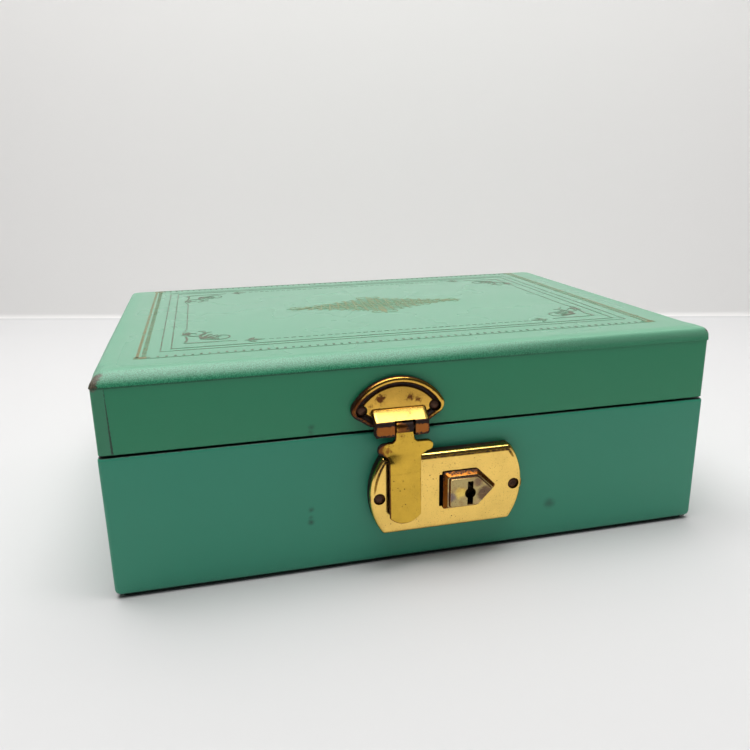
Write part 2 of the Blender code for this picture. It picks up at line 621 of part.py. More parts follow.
def build_lock_case():
    """A pressed pan with nail bosses, slots for the button and the staple, and a recess in the board."""
    back = FACE - GAP
    mesh = sheet_mesh("lock_case", lock_outline(), "front", back, LOCK_FACE)
    bm = bmesh.new()
    bm.from_mesh(mesh)
    corners = [e for e in bm.edges if is_lock_corner(e)]
    bmesh.ops.bevel(bm, geom=corners, offset=LOCK_CORNER * MM, segments=4, profile=0.5, affect="EDGES")
    front = [e for e in bm.edges if max(v.co.y for v in e.verts) < LOCK_FACE * MM + 1e-7]
    bmesh.ops.bevel(bm, geom=front, offset=LOCK_ROUND * MM, segments=3, profile=0.5, affect="EDGES")
    case = place(mesh_from(bm, "lock_case"), "lock_case", "brass")
    inside = sheet_mesh("lock_inside", lock_outline(LOCK_SHEET + 0.6), "front",
                        LOCK_FACE + LOCK_SHEET, back + 5)
    cut(case, cutter(inside, "lock_inside"))
    nails = []
    for side in (-1, 1):
        x = LOCK_X + side * LOCK_NAIL_X
        boss = rod_mesh(f"lock_boss_{side}", (x, LOCK_FACE + 0.4, LOCK_NAIL_Z), (x, back, LOCK_NAIL_Z), BOSS)
        cut(case, cutter(boss, f"lock_boss_{side}"), "UNION")
        nails.append(x)
    slot = block_cutter("button_slot", (SHANK_LEFT - TRAVEL - GAP, LOCK_FACE - 2, LOCK_Z - SHANK_HALF - GAP),
                        (SHANK_RIGHT + GAP, LOCK_FACE + 2, LOCK_Z + SHANK_HALF + GAP))
    cut(case, slot)
    staple_slot = block_cutter("staple_slot", (HASP_X - STAPLE, LOCK_FACE - 2, STAPLE_BOTTOM - 1.2),
                               (HASP_X + STAPLE, LOCK_FACE + STAPLE_DEEP + 0.2, LOCK_Z + 20))
    cut(case, staple_slot)
    for i, x in enumerate(nails):
        set_nail(f"lock_nail_{i + 1}", x, LOCK_NAIL_Z, LOCK_FACE, 0.75, case,
                 ("base_cover", "base_front_board"))


def is_lock_corner(edge):
    """The four edges through the sheet where a straight side meets a bowed end."""
    a, b = edge.verts[0].co, edge.verts[1].co
    through = abs(a.y - b.y) > 1 * MM
    high = abs(abs(a.z / MM - LOCK_Z) - LOCK_HALF_HEIGHT) < 0.01
    return through and high


def build_lock_back():
    """The plate in the board's recess, with the post that the cam's wall locks against."""
    pocket = block_cutter("lock_pocket", (POCKET_LEFT, FACE - 1, POCKET_BOTTOM),
                          (POCKET_RIGHT, FACE + POCKET_DEEP, POCKET_TOP))
    cut(bpy.data.objects["base_cover"], pocket)
    cut(bpy.data.objects["base_front_board"], pocket)
    front = FACE + POCKET_DEEP - GAP - LOCK_SHEET
    plate = block("lock_back_plate", (POCKET_LEFT + GAP, front, POCKET_BOTTOM + GAP),
                  (POCKET_RIGHT - GAP, front + LOCK_SHEET, POCKET_TOP - GAP), "dark_brass")
    post = rod_mesh("cam_post", (CAM_POST_X, front + 0.4, KEY_Z), (CAM_POST_X, cam_back() - 0.7, KEY_Z),
                    CAM_POST, 16)
    cut(plate, cutter(post, "cam_post"), "UNION")


def cam_back():
    """y of the cam's rear rim, 0.9 mm in front of the lock's back plate."""
    return FACE + POCKET_DEEP - GAP - LOCK_SHEET - 0.9


def button_outline(inset=0.0):
    """A pentagon that points to the right, each side moved in by the inset."""
    rise, run = BUTTON_HALF, BUTTON_TIP - BUTTON_SHOULDER
    slant = math.hypot(rise, run)
    half = BUTTON_HALF - inset
    tip = BUTTON_TIP - inset * slant / rise
    shoulder = tip - half * run / rise
    back = BUTTON_BACK + inset
    return [(back, LOCK_Z - half), (shoulder, LOCK_Z - half), (tip, LOCK_Z),
            (shoulder, LOCK_Z + half), (back, LOCK_Z + half)]


def keyhole_cutters(name, near, far):
    round_hole = rod_cutter(f"{name}_round", (KEY_X, near, KEY_Z), (KEY_X, far, KEY_Z), KEY_ROUND)
    slot = block_cutter(f"{name}_slot", (KEY_X - KEY_SLOT / 2, near, KEY_Z - KEY_HEIGHT / 2),
                        (KEY_X + KEY_SLOT / 2, far, KEY_Z + KEY_HEIGHT / 2))
    return round_hole, slot


def build_button(parent):
    """The pentagon that a thumb slides: a low step, a raised face and a shank through the case."""
    back = LOCK_FACE - GAP
    button = place(sheet_mesh("slide_button", button_outline(), "front", back, back - BUTTON_STEP),
                   "slide_button", "brass", parent)
    soften(button, 0.3, 2)
    raised = cutter(sheet_mesh("button_face", button_outline(BUTTON_INSET), "front", back - 0.3,
                               LOCK_FACE - BUTTON_PROUD), "button_face")
    soften(raised, 0.4, 2)
    cut(button, raised, "UNION")
    shank = block_cutter("button_shank", (SHANK_LEFT, back - 0.3, LOCK_Z - SHANK_HALF),
                         (SHANK_RIGHT, LOCK_FACE + LOCK_SHEET, LOCK_Z + SHANK_HALF))
    cut(button, shank, "UNION")
    for tool in keyhole_cutters("button_key", LOCK_FACE - 10, LOCK_FACE + 5):
        cut(button, tool)


def bolt_front():
    return LOCK_FACE + LOCK_SHEET + GAP


def build_bolt(parent):
    """The plate behind the button, with the finger that enters the staple's eye."""
    front = bolt_front()
    bolt = block("latch_bolt", (BOLT_LEFT, front, BOLT_BOTTOM), (BOLT_RIGHT, front + BOLT, BOLT_TOP),
                 "steel", parent)
    finger = block_cutter("bolt_finger", (FINGER_LEFT, front, FINGER_Z - FINGER / 2),
                          (BOLT_LEFT + 2, front + BOLT, FINGER_Z + FINGER / 2))
    cut(bolt, finger, "UNION")
    hole = rod_cutter("bolt_hole", (KEY_X, front - 2, KEY_Z), (KEY_X, front + 3, KEY_Z), CAM_JOURNAL + GAP)
    cut(bolt, hole)
    radius = (SPRING_HALF**2 + SPRING_RISE**2) / (2 * SPRING_RISE)
    spread = math.degrees(math.asin(SPRING_HALF / radius))
    centre = BOLT_BOTTOM - GAP - SPRING - SPRING_RISE + radius
    middle = (BOLT_LEFT + BOLT_RIGHT) / 2
    outer = arc(middle, centre, radius, -90 - spread, -90 + spread, 12)
    inner = arc(middle, centre, radius - SPRING, -90 + spread, -90 - spread, 12)
    strip = sheet_mesh("latch_spring", outer + inner, "front", front - 0.1, front + 1.7)
    place(strip, "latch_spring", "steel", parent)


def build_cam(parent):
    """A cup whose wall has one notch: a key turns it, and the post passes only through the notch."""
    back = cam_back()
    web_front = bolt_front() + BOLT + GAP
    mesh = rod_mesh("key_cam", (KEY_X, web_front, KEY_Z), (KEY_X, back, KEY_Z), CAM, 40)
    cam = place(mesh, "key_cam", "dark_brass", parent)
    hollow = cutter(rod_mesh("cam_hollow", (KEY_X, web_front + CAM_WEB, KEY_Z), (KEY_X, back + 2, KEY_Z),
                             CAM - CAM_WALL, 40), "cam_hollow")
    cut(cam, hollow)
    hub = rod_mesh("cam_hub", (KEY_X, web_front - GAP - BOLT + 0.1, KEY_Z), (KEY_X, back, KEY_Z), CAM_JOURNAL, 24)
    cut(cam, cutter(hub, "cam_hub"), "UNION")
    notch = block_cutter("cam_notch", (KEY_X - CAM - 2, web_front + CAM_WEB, KEY_Z - CAM_NOTCH / 2),
                         (KEY_X - CAM_HUB - 0.4, back + 2, KEY_Z + CAM_NOTCH / 2))
    cut(cam, notch)
    keyway = block_cutter("cam_keyway", (KEY_X - 0.6, web_front - 4, KEY_Z - 1.5),
                          (KEY_X + 0.6, back + 2, KEY_Z + 1.5))
    cut(cam, keyway)


clear_scene()
PARTS = new_collection("ring_box")
CUTTERS = new_collection("cutters")
WORLD_OF = {}

LID = pivot("lid_pivot", (0, AXIS_Y, AXIS_Z))
HASP = pivot("hasp_pivot", (HASP_X, FACE - HASP_AXIS_PROUD, HASP_AXIS_Z), LID)
SLIDE = pivot("slide_pivot", (KEY_X, LOCK_FACE, LOCK_Z))
KEY = pivot("cam_pivot", (KEY_X, LOCK_FACE, KEY_Z), SLIDE)

build_base_boards()
build_base_cover()
build_underside()
build_inside(*build_collar())
build_lid_boards(LID)
build_lid_cover(LID)
build_lid_lining(LID)
build_hinge("left_hinge", -HINGE_X, LID)
build_hinge("right_hinge", HINGE_X, LID)
build_hasp_plate(LID)
build_hasp(HASP)
build_lock_case()
build_lock_back()
build_button(SLIDE)
build_bolt(SLIDE)
build_cam(KEY)
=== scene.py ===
"""The looks of a leatherette-covered ring box with a brass hasp lock.

Points are written in millimetres in the case's own frame: +X right, +Y back, +Z up, and the
origin at the centre of the underside. MM turns them into Blender's metres.
"""

import json
import math

import bmesh
import bpy
from mathutils import Matrix, Vector, noise
from mathutils.bvhtree import BVHTree
from mathutils.interpolate import poly_3d_calc


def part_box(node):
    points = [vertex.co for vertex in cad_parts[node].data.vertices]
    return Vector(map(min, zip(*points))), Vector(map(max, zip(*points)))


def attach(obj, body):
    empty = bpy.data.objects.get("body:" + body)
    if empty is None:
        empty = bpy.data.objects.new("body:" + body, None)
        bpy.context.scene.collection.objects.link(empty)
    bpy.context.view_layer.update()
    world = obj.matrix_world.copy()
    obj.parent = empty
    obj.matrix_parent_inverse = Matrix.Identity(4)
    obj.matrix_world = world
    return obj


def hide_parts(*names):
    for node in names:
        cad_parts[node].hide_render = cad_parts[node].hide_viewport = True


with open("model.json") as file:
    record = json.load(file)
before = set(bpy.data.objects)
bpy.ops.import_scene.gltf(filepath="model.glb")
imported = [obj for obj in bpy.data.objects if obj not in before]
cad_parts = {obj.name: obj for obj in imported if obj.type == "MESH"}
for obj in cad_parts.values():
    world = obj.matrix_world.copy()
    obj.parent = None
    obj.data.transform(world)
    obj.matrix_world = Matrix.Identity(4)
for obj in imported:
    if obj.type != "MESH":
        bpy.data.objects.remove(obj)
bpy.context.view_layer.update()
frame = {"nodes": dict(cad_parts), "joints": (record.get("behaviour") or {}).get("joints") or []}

MM = 0.001


def box_mm(node):
    """A CAD node's lowest and highest corners, in millimetres."""
    low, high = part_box(node)
    return low / MM, high / MM


def middle_of(node):
    """The X and Z of a CAD node's middle."""
    low, high = box_mm(node)
    return (low.x + high.x) / 2, (low.z + high.z) / 2


# ------------ places taken from the frame

LID_LOW, LID_HIGH = box_mm("lid_cover")
BASE_LOW, BASE_HIGH = box_mm("base_cover")
LOCK_LOW, LOCK_HIGH = box_mm("lock_case")
MOON_LOW, MOON_HIGH = box_mm("hasp_plate")
HASP_FOOT = box_mm("hasp")[0].z
BUTTON_BACK = box_mm("slide_button")[0].x
JOINTS = {joint["name"]: joint for joint in frame["joints"]}

HALF_X, HALF_Y = LID_HIGH.x, LID_HIGH.y
TOP = LID_HIGH.z
FACE = -HALF_Y  # the front of the leatherette
LOCK_FACE = LOCK_LOW.y
LOCK_X, LOCK_Z = middle_of("lock_case")
HASP_AXIS = Vector(JOINTS["hasp_hinge"]["pos_m"]) / MM
KEY = Vector(JOINTS["key_turn"]["pos_m"]) / MM

CORNER = 1.1  # radius of the upright corners
COVER = 0.6  # thickness of the leatherette
LIP = 6.0  # width of the cover's turned-in lips
NAIL_HOLE = 1.7  # radius of the hole that shows round a nail's head
PIN_BORE = 0.98


# ------------ mesh helpers


def new_object(name, data):
    obj = bpy.data.objects.new(name, data)
    bpy.context.scene.collection.objects.link(obj)
    return obj


def evaluated_mesh(obj):
    """A new mesh with the object's modifiers applied."""
    bpy.context.view_layer.update()
    graph = bpy.context.evaluated_depsgraph_get()
    return bpy.data.meshes.new_from_object(obj.evaluated_get(graph))


def shade(mesh, smooth_angle):
    mesh.shade_smooth()
    mesh.set_sharp_from_angle(angle=math.radians(smooth_angle))
    return mesh


def mesh_of(bm, name):
    mesh = bpy.data.meshes.new(name)
    bm.to_mesh(mesh)
    bm.free()
    return mesh


def finish_mesh(bm, name, smooth_angle=40):
    """Turns a closed mesh's faces outwards, shades it smooth and returns it."""
    bmesh.ops.recalc_face_normals(bm, faces=bm.faces)
    if bm.calc_volume(signed=True) < 0:
        bmesh.ops.reverse_faces(bm, faces=bm.faces)
    return shade(mesh_of(bm, name), smooth_angle)


def add_piece(mesh, name, material, body, replaced=()):
    piece = new_object(name, mesh)
    mesh.materials.clear()
    mesh.materials.append(material)
    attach(piece, body)
    if replaced:
        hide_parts(*replaced)


def ring_bmesh(rings, wear_and_light=None, joined=False):
    """Skins a stack of rings of points, closed by two caps, or joined from the last ring to the first.

    The wear-and-light value (real wear, painted light and painted shade) is given for each ring, or as a
    list with one for each of its points.
    """
    bm = bmesh.new()
    layer = bm.verts.layers.float.new("wear_and_light")
    loops = []
    for ring, worn in zip(rings, wear_and_light or [0.0] * len(rings)):
        loop = [bm.verts.new(Vector(point) * MM) for point in ring]
        for vertex, own in zip(loop, worn if isinstance(worn, list) else [worn] * len(loop)):
            vertex[layer] = own
        loops.append(loop)
    for a, b in zip(loops, loops[1:] + loops[:1] if joined else loops[1:]):
        for i in range(len(a)):
            j = (i + 1) % len(a)
            bm.faces.new((a[i], a[j], b[j], b[i]))
    if not joined:
        bm.faces.new(list(reversed(loops[0])))
        bm.faces.new(loops[-1])
    return bm


def change_wear_and_light(bm, new_wear_and_light):
    """Replaces every vertex's wear-and-light value with the function's result for (point in millimetres, old
    value).
    """
    layer = bm.verts.layers.float["wear_and_light"]
    for vertex in bm.verts:
        vertex[layer] = new_wear_and_light(vertex.co / MM, vertex[layer])


def smooth_step(value, low, high):
    share = min(1.0, max(0.0, (value - low) / (high - low)))
    return share * share * (3 - 2 * share)


def arc(x, z, radius, start, end, steps):
    """Points on an arc, in degrees from +X towards +Z, both ends included."""
    angles = [math.radians(start + (end - start) * i / steps) for i in range(steps + 1)]
    return [(x + radius * math.cos(a), z + radius * math.sin(a)) for a in angles]


def shrink(points, inset):
    """A closed counter-clockwise outline moved inwards by a small inset."""
    moved = []
    for i, (x, z) in enumerate(points):
        ax, az = points[i - 1]
        bx, bz = points[(i + 1) % len(points)]
        first = Vector((z - az, ax - x)).normalized()
        second = Vector((bz - z, x - bx)).normalized()
        mitre = (first + second) / max(0.35, 1 + first.dot(second))
        moved.append((x - mitre.x * inset, z - mitre.y * inset))
    return moved


def round_corners(corners, reach, steps=4):
    """The polygon with each corner replaced by a curve that starts this far before it."""
    corners = [Vector(corner) for corner in corners]
    points = []
    for i, here in enumerate(corners):
        start = here + (corners[i - 1] - here).normalized() * reach
        end = here + (corners[(i + 1) % len(corners)] - here).normalized() * reach
        for t in (k / steps for k in range(steps + 1)):
            points.append(tuple(start * (1 - t) ** 2 + here * (2 * t * (1 - t)) + end * t**2))
    return points


def between(start, end, parts, first=0):
    """Points along a straight line, without its end."""
    (x, z), (nx, nz) = start, end
    return [(x + (nx - x) * k / parts, z + (nz - z) * k / parts) for k in range(first, parts)]


def dense(points, step):
    """The outline with extra points along its long sides."""
    filled = []
    for start, end in zip(points, points[1:] + points[:1]):
        filled += between(start, end, max(1, round(math.dist(start, end) / step)))
    return filled


def pressed(outline_at, profile, back):
    """A pressed plate facing -Y: outline_at gives its outline for an inset.

    Profile rows are (inset, height above the back, wear-and-light value).
    """
    rings = [[(x, back - height, z) for x, z in outline_at(inset)] for inset, height, _ in profile]
    return ring_bmesh(rings, [wear_and_light for _, _, wear_and_light in profile])


# ------------ Boolean cuts


def loose_object(bm, name):
    """A helper object for a Boolean, which apply_cuts removes again."""
    return new_object(name, finish_mesh(bm, name))


def rod(start, end, radius, steps=32):
    start, end = Vector(start) * MM, Vector(end) * MM
    bm = bmesh.new()
    bmesh.ops.create_cone(bm, cap_ends=True, segments=steps, radius1=radius * MM,
                          radius2=radius * MM, depth=(end - start).length)
    turn = (end - start).to_track_quat("Z", "Y").to_matrix().to_4x4()
    bm.transform(Matrix.Translation((start + end) / 2) @ turn)
    return loose_object(bm, "rod")


def rod_along_y(x, z, near, far, radius):
    return rod((x, near, z), (x, far, z), radius)


def pin_bore(left, right, steps=32):
    """The hole for the hasp's pin."""
    _, y, z = HASP_AXIS
    return "DIFFERENCE", rod((left, y, z), (right, y, z), PIN_BORE, steps)


def block(low, high, bevel=0.0):
    bm = bmesh.new()
    bmesh.ops.create_cube(bm, size=1.0)
    size = (Vector(high) - Vector(low)) * MM
    bm.transform(Matrix.Translation((Vector(low) + Vector(high)) / 2 * MM) @ Matrix.Diagonal((*size, 1)))
    if bevel:
        bmesh.ops.bevel(bm, geom=bm.edges[:], offset=bevel * MM, segments=2, profile=0.5, affect="EDGES")
    return loose_object(bm, "block")


def read_wear_and_light(mesh):
    """The mesh's triangles as a search tree, with what is needed to read the wear-and-light value at any
    point of them.
    """
    mesh.calc_loop_triangles()
    triangles = [tuple(t.vertices) for t in mesh.loop_triangles]
    points = [v.co.copy() for v in mesh.vertices]
    wear_and_light = [item.value for item in mesh.attributes["wear_and_light"].data]
    return BVHTree.FromPolygons(points, triangles), triangles, points, wear_and_light


def carry_wear_and_light(mesh, source):
    """Gives the vertices that a Boolean made the wear-and-light value of the surface they were cut from."""
    tree, triangles, points, wear_and_light = source
    values = mesh.attributes["wear_and_light"].data
    for i, vertex in enumerate(mesh.vertices):
        place, _, index, distance = tree.find_nearest(vertex.co)
        if distance > 0.02 * MM:
            continue
        corners = triangles[index]
        shares = poly_3d_calc([points[c] for c in corners], place)
        values[i].value = sum(share * wear_and_light[c] for share, c in zip(shares, corners))


def apply_cuts(mesh, steps, smooth_angle=40):
    """Runs (operation, object) Booleans on the mesh and returns the new mesh."""
    source = read_wear_and_light(mesh)
    holder = new_object("holder", mesh)
    for operation, tool in steps:
        modifier = holder.modifiers.new(tool.name, "BOOLEAN")
        modifier.operation = operation
        modifier.object = tool
        modifier.solver = "EXACT"
    made = evaluated_mesh(holder)
    made.name = mesh.name
    carry_wear_and_light(made, source)
    for used in [holder] + [tool for _, tool in steps]:
        bpy.data.objects.remove(used)
    return shade(made, smooth_angle)


# ------------ material helpers


def tint(colour, share):
    """The colour made darker or lighter."""
    return tuple(min(1.0, c * share) for c in colour)


class Value:
    """A node's output. Adding, subtracting and multiplying it makes further nodes."""

    def __init__(self, nodes, socket):
        self.nodes = nodes
        self.socket = socket

    def __add__(self, other):
        return self.nodes.math("ADD", self, other)

    def __sub__(self, other):
        return self.nodes.math("SUBTRACT", self, other)

    def __rsub__(self, other):
        return self.nodes.math("SUBTRACT", other, self)

    def __mul__(self, other):
        return self.nodes.math("MULTIPLY", self, other)


class Nodes:
    """Short calls for building a material's node tree."""

    FULL_NAMES = {"color": "Base Color", "sheen": "Sheen Weight", "specular": "Specular IOR Level",
                  "coat": "Coat Weight"}

    def __init__(self, name):
        self.material = bpy.data.materials.new(name)
        self.material.use_nodes = True
        self.tree = self.material.node_tree
        self.place = self.add("TexCoord", "Object")

    def add(self, kind, output, inputs=None, **settings):
        """Adds a node and returns one of its outputs."""
        node = self.tree.nodes.new("ShaderNode" + kind)
        for key, value in settings.items():
            setattr(node, key, value)
        for key, value in (inputs or {}).items():
            self.give(node.inputs[key], value)
        return Value(self, node.outputs[output])

    def give(self, socket, value):
        if isinstance(value, Value):
            self.tree.links.new(value.socket, socket)
        elif isinstance(value, tuple) and len(value) == 3 and socket.type == "RGBA":
            socket.default_value = (*value, 1.0)
        else:
            socket.default_value = value

    def done(self, **inputs):
        """Sets the shader's inputs and returns the material."""
        shader = self.tree.nodes["Principled BSDF"]
        for key, value in inputs.items():
            self.give(shader.inputs[self.FULL_NAMES.get(key, key.replace("_", " ").title())], value)
        return self.material

    def noise(self, scale, detail=2.0, roughness=0.5, vector=None):
        return self.add("TexNoise", "Fac", {"Vector": vector or self.place, "Scale": scale,
                                            "Detail": detail, "Roughness": roughness})

    def cells(self, scale, feature="F1"):
        return self.add("TexVoronoi", "Distance", {"Vector": self.place, "Scale": scale}, feature=feature)

    def math(self, operation, a, b=0.0, clamp=False):
        return self.add("Math", 0, {0: a, 1: b}, operation=operation, use_clamp=clamp)

    def larger(self, a, b):
        return self.math("MAXIMUM", a, b)

    def fade(self, value, low, high, out_low=0.0, out_high=1.0):
        """A smooth step of the value from low to high."""
        return self.add("MapRange", "Result", {"Value": value, "From Min": low, "From Max": high,
                                               "To Min": out_low, "To Max": out_high},
                        interpolation_type="SMOOTHSTEP")

    def mix(self, share, a, b):
        """Colour a, turned into colour b by the share."""
        return self.add("Mix", 2, {"Factor": share, 6: a, 7: b}, data_type="RGBA")

    def bump(self, height, distance_mm, strength=1.0):
        return self.add("Bump", "Normal", {"Height": height, "Distance": distance_mm * MM,
                                           "Strength": strength})

    def distance_to(self, point):
        """Distance in millimetres from a point of the case."""
        metres = self.add("VectorMath", "Value", {0: self.place, 1: tuple(c * MM for c in point)},
                          operation="DISTANCE")
        return self.math("DIVIDE", metres, MM)

    def axis(self, name):
        """The X, Y or Z of the place, in millimetres."""
        return self.math("DIVIDE", self.add("SeparateXYZ", name, {0: self.place}), MM)

    # the wear-and-light attribute: real wear together with painted light and shade
    def wear_and_light(self):
        return self.add("Attribute", "Fac", attribute_name="wear_and_light")

    def stretched(self, *scale):
        return self.add("Mapping", "Vector", {"Vector": self.place, "Scale": scale})


# ------------ leatherette

LID_GREEN = (0.024, 0.288, 0.138)
BASE_GREEN = (0.034, 0.325, 0.200)
BOARD_BROWN = (0.15, 0.13, 0.085)
PEBBLE = 3900.0  # pebbles of the grain per metre
TOP_COAT = 0.8  # the lid's top is polished by handling
SEAM_Z = 59.85  # lower edge of the sheet that is wrapped over the lid's top
SEAM_STEP = 0.22


def leatherette(name, green, worn_spots=(), smudges=(), painted_shade_lines=(), torn_edge=None):
    """Sea-green embossed leatherette with a pebble grain, rubbed at its corners.

    The wear-and-light attribute marks bent and stretched edges, where the pebbles stand out, and the bevel,
    which takes a painted sheen. The painted shade lines are rows of (height, half width, share at the left,
    share at the right) for dark lines of painted shade that run round the case, and torn_edge is the X past
    which the sheet's cut edge is dark.
    """
    n = Nodes(name)
    across, height = n.axis("X"), n.axis("Z")
    patches = n.noise(18.0, 4.0, 0.6)
    tone = n.mix(n.fade(patches, 0.35, 0.7, 0.0, 0.10), green, tuple(c * 1.2 + 0.01 for c in green))
    yellowed = n.fade(n.noise(9.0, 2.0, 0.4), 0.45, 0.75, 0.0, 0.08)
    tone = n.mix(yellowed, tone, (0.06, 0.27, 0.08))

    pebble = n.fade(n.cells(PEBBLE, "SMOOTH_F1"), 0.12, 0.7)
    stretched = n.wear_and_light() * n.fade(across, 25.0, 62.0, 1.0, 0.25)
    proud = n.fade(pebble, 0.5, 0.1) * stretched
    sunk = n.fade(pebble, 0.55, 0.95) * stretched
    tone = n.mix(proud * 0.2, tone, (0.30, 0.70, 0.50))
    tone = n.mix(sunk * 0.55, tone, tint(green, 0.45))
    # painted sheen: the bevel above the seam is paled towards white, standing in for the shine of its
    # pebbles
    painted_edge_sheen = n.wear_and_light() * n.fade(height, SEAM_Z + 0.3, SEAM_Z + 2.4, 0.0, 0.09)
    tone = n.mix(painted_edge_sheen, tone, (0.9, 1.0, 0.95))

    for point, radius, colour in worn_spots:
        ragged = n.distance_to(point) + n.noise(1100.0, 6.0, 0.75) * 4.0
        rubbed = n.mix(n.fade(n.noise(2600.0, 4.0, 0.7), 0.42, 0.58), colour, tint(colour, 0.28))
        tone = n.mix(n.fade(ragged, radius + 2.6, radius + 1.7), tone, rubbed)
    for point, radius, share in smudges:
        soft = n.distance_to(point) + n.noise(700.0, 4.0) * 1.4
        tone = n.mix(n.fade(soft, radius + 1.7, radius * 0.5, 0.0, share), tone, tint(green, 0.22))
    jagged = (n.noise(900.0, 4.0, 0.6) - 0.5) * 0.35
    # painted shade: dark lines where shade falls in the seam under the wrapped top, in the parting and along
    # the foot
    for level, half, at_left, at_right in painted_shade_lines:
        line = n.fade(n.math("ABSOLUTE", height - level) + jagged, half, half * 0.45)
        share = n.fade(across, 5.0, 55.0, at_left, at_right)
        tone = n.mix(line * share, tone, tint(green, 0.06))
    if torn_edge is not None:
        torn = n.fade(across + jagged, torn_edge - 0.4, torn_edge - 0.15)
        tone = n.mix(torn * 0.9, tone, tint(green, 0.1))
        tone = n.mix(0.16, tone, (0.16, 0.19, 0.17))

    flat_grain = n.fade(height, TOP - 0.6, TOP - 0.1, -0.16, -0.03)
    wrinkles = n.noise(260.0, 4.0, 0.6) * n.fade(height, TOP - 1.5, TOP - 0.3, 0.5, 0.03)
    relief = pebble * (stretched * -0.9 + flat_grain) + wrinkles
    handled = n.fade(height, TOP - 3.6, TOP - 1.0)
    on_edge = n.wear_and_light() * handled
    dull = n.fade(n.noise(40.0), 0.3, 0.75, 0.36, 0.40)
    return n.done(color=tone, roughness=dull - handled * 0.10 + on_edge * 0.26, specular=0.5,
                  coat=handled * TOP_COAT, coat_roughness=on_edge * 0.3 + 0.28,
                  normal=n.bump(relief, 0.06, 0.6))


# ------------ metals


def brass(name, bright, bronze, gloss, specks=0.9, stains=(), patches=0.0, tints=()):
    """Lacquered brass sheet: bronzed and blackened where the wear-and-light value is high, which is tarnish
    and dirt in some places and painted dark reflection and shadow in others, specked where lacquer has gone.
    """
    n = Nodes(name)
    broad = n.noise(150.0, 4.0, 0.6)
    tone = n.mix(n.fade(broad, 0.35, 0.7, 0.0, 0.5), bright, tint(bright, 0.78))
    for point, radius, colour in tints:
        cloudy = n.distance_to(point) + n.noise(500.0, 4.0, 0.7) * 2.4
        tone = n.mix(n.fade(cloudy, radius + 1.9, radius + 0.7, 0.0, 0.9), tone, colour)
    wiped = n.noise(1.0, 4.0, 0.65, n.stretched(420.0, 420.0, 2400.0))
    tone = n.mix(n.fade(wiped, 0.52, 0.75, 0.0, 0.22), tone, tint(bright, 1.2))

    jitter = n.noise(1200.0, 6.0, 0.75) - 0.5
    # bronzed and black where the wear-and-light value is high: tarnish and dirt, and also painted dark
    # reflection and shadow on the parts that are set for it
    bronzed_and_shaded = n.fade(n.wear_and_light() + jitter * 0.6, 0.22, 0.5)
    black_and_dark_reflection = n.fade(n.wear_and_light() + jitter * 1.4, 0.70, 0.84)
    for point, radius, share in stains:
        edge = n.distance_to(point) + jitter * 5.0
        bronzed_and_shaded = n.larger(bronzed_and_shaded, n.fade(edge, radius + 0.5, radius - 0.7, 0.0, share))
    if patches:
        bronzed_and_shaded = n.larger(bronzed_and_shaded, n.fade(n.noise(420.0, 5.0, 0.7), 0.5, 0.6, 0.0, patches))

    area = n.fade(n.noise(170.0, 3.0, 0.6), 0.44, 0.64, 0.25, 1.0)
    dots = n.fade(n.noise(2900.0, 4.0, 0.7), 0.605, 0.67) * area
    pits = n.fade(n.cells(620.0), 0.13, 0.07) * n.fade(n.noise(310.0), 0.54, 0.6)
    dark = n.larger(black_and_dark_reflection, n.larger(dots, pits) * specks)
    tone = n.mix(dark, n.mix(bronzed_and_shaded, tone, bronze), (0.022, 0.008, 0.005))
    rough = n.fade(broad, 0.3, 0.7, gloss * 0.8, gloss * 1.3) + (bronzed_and_shaded * 0.12 + dark * 0.25)
    relief = n.noise(95.0) * 0.8 - dark * 0.3
    return n.done(color=tone, metallic=1.0 - dark * 0.6, roughness=rough, normal=n.bump(relief, 0.06, 0.3))


def plain_metal(name, colour, gloss):
    n = Nodes(name)
    spots = n.noise(700.0, 5.0, 0.7)
    tone = n.mix(n.fade(spots, 0.4, 0.7), colour, tint(colour, 0.45))
    return n.done(color=tone, metallic=0.85, roughness=n.fade(spots, 0.3, 0.7, gloss, gloss + 0.25),
                  normal=n.bump(spots, 0.05, 0.4))


# ------------ other materials


def velvet(name, colour):
    """Short-pile velvet: matt, with a soft light edge and brushed patches."""
    n = Nodes(name)
    brushed = n.noise(55.0, 3.0, 0.55)
    pile = n.noise(5200.0, 2.0, 0.7)
    tone = n.mix(n.fade(brushed, 0.35, 0.68), colour, tint(colour, 0.86))
    tone = n.mix(n.fade(pile, 0.5, 0.8, 0.0, 0.35), tone, tint(colour, 1.25))
    return n.done(color=tone, roughness=0.92, specular=0.15, sheen=0.8, sheen_roughness=0.35,
                  normal=n.bump(pile, 0.18, 0.7))


def satin(name, colour):
    """Satin cloth: a fine weave that shines more across one direction."""
    n = Nodes(name)
    weave = n.noise(1.0, 2.0, 0.6, n.stretched(5200.0, 900.0, 900.0))
    folds = n.noise(90.0, 3.0, 0.55)
    tone = n.mix(n.fade(folds, 0.35, 0.7, 0.0, 0.5), colour, tint(colour, 0.9))
    tone = n.mix(n.fade(weave, 0.45, 0.75, 0.0, 0.25), tone, tint(colour, 1.12))
    return n.done(color=tone, roughness=n.fade(weave, 0.3, 0.7, 0.3, 0.46), specular=0.6, sheen=0.35,
                  sheen_roughness=0.3, anisotropic=0.5, normal=n.bump(weave, 0.05, 0.5))


def bare_wood(name):
    n = Nodes(name)
    rings = n.noise(1.0, 5.0, 0.6, n.stretched(14.0, 260.0, 260.0))
    tone = n.mix(n.fade(rings, 0.35, 0.7), (0.52, 0.34, 0.19), (0.36, 0.21, 0.11))
    return n.done(color=tone, roughness=0.75, normal=n.bump(rings, 0.12, 0.5))


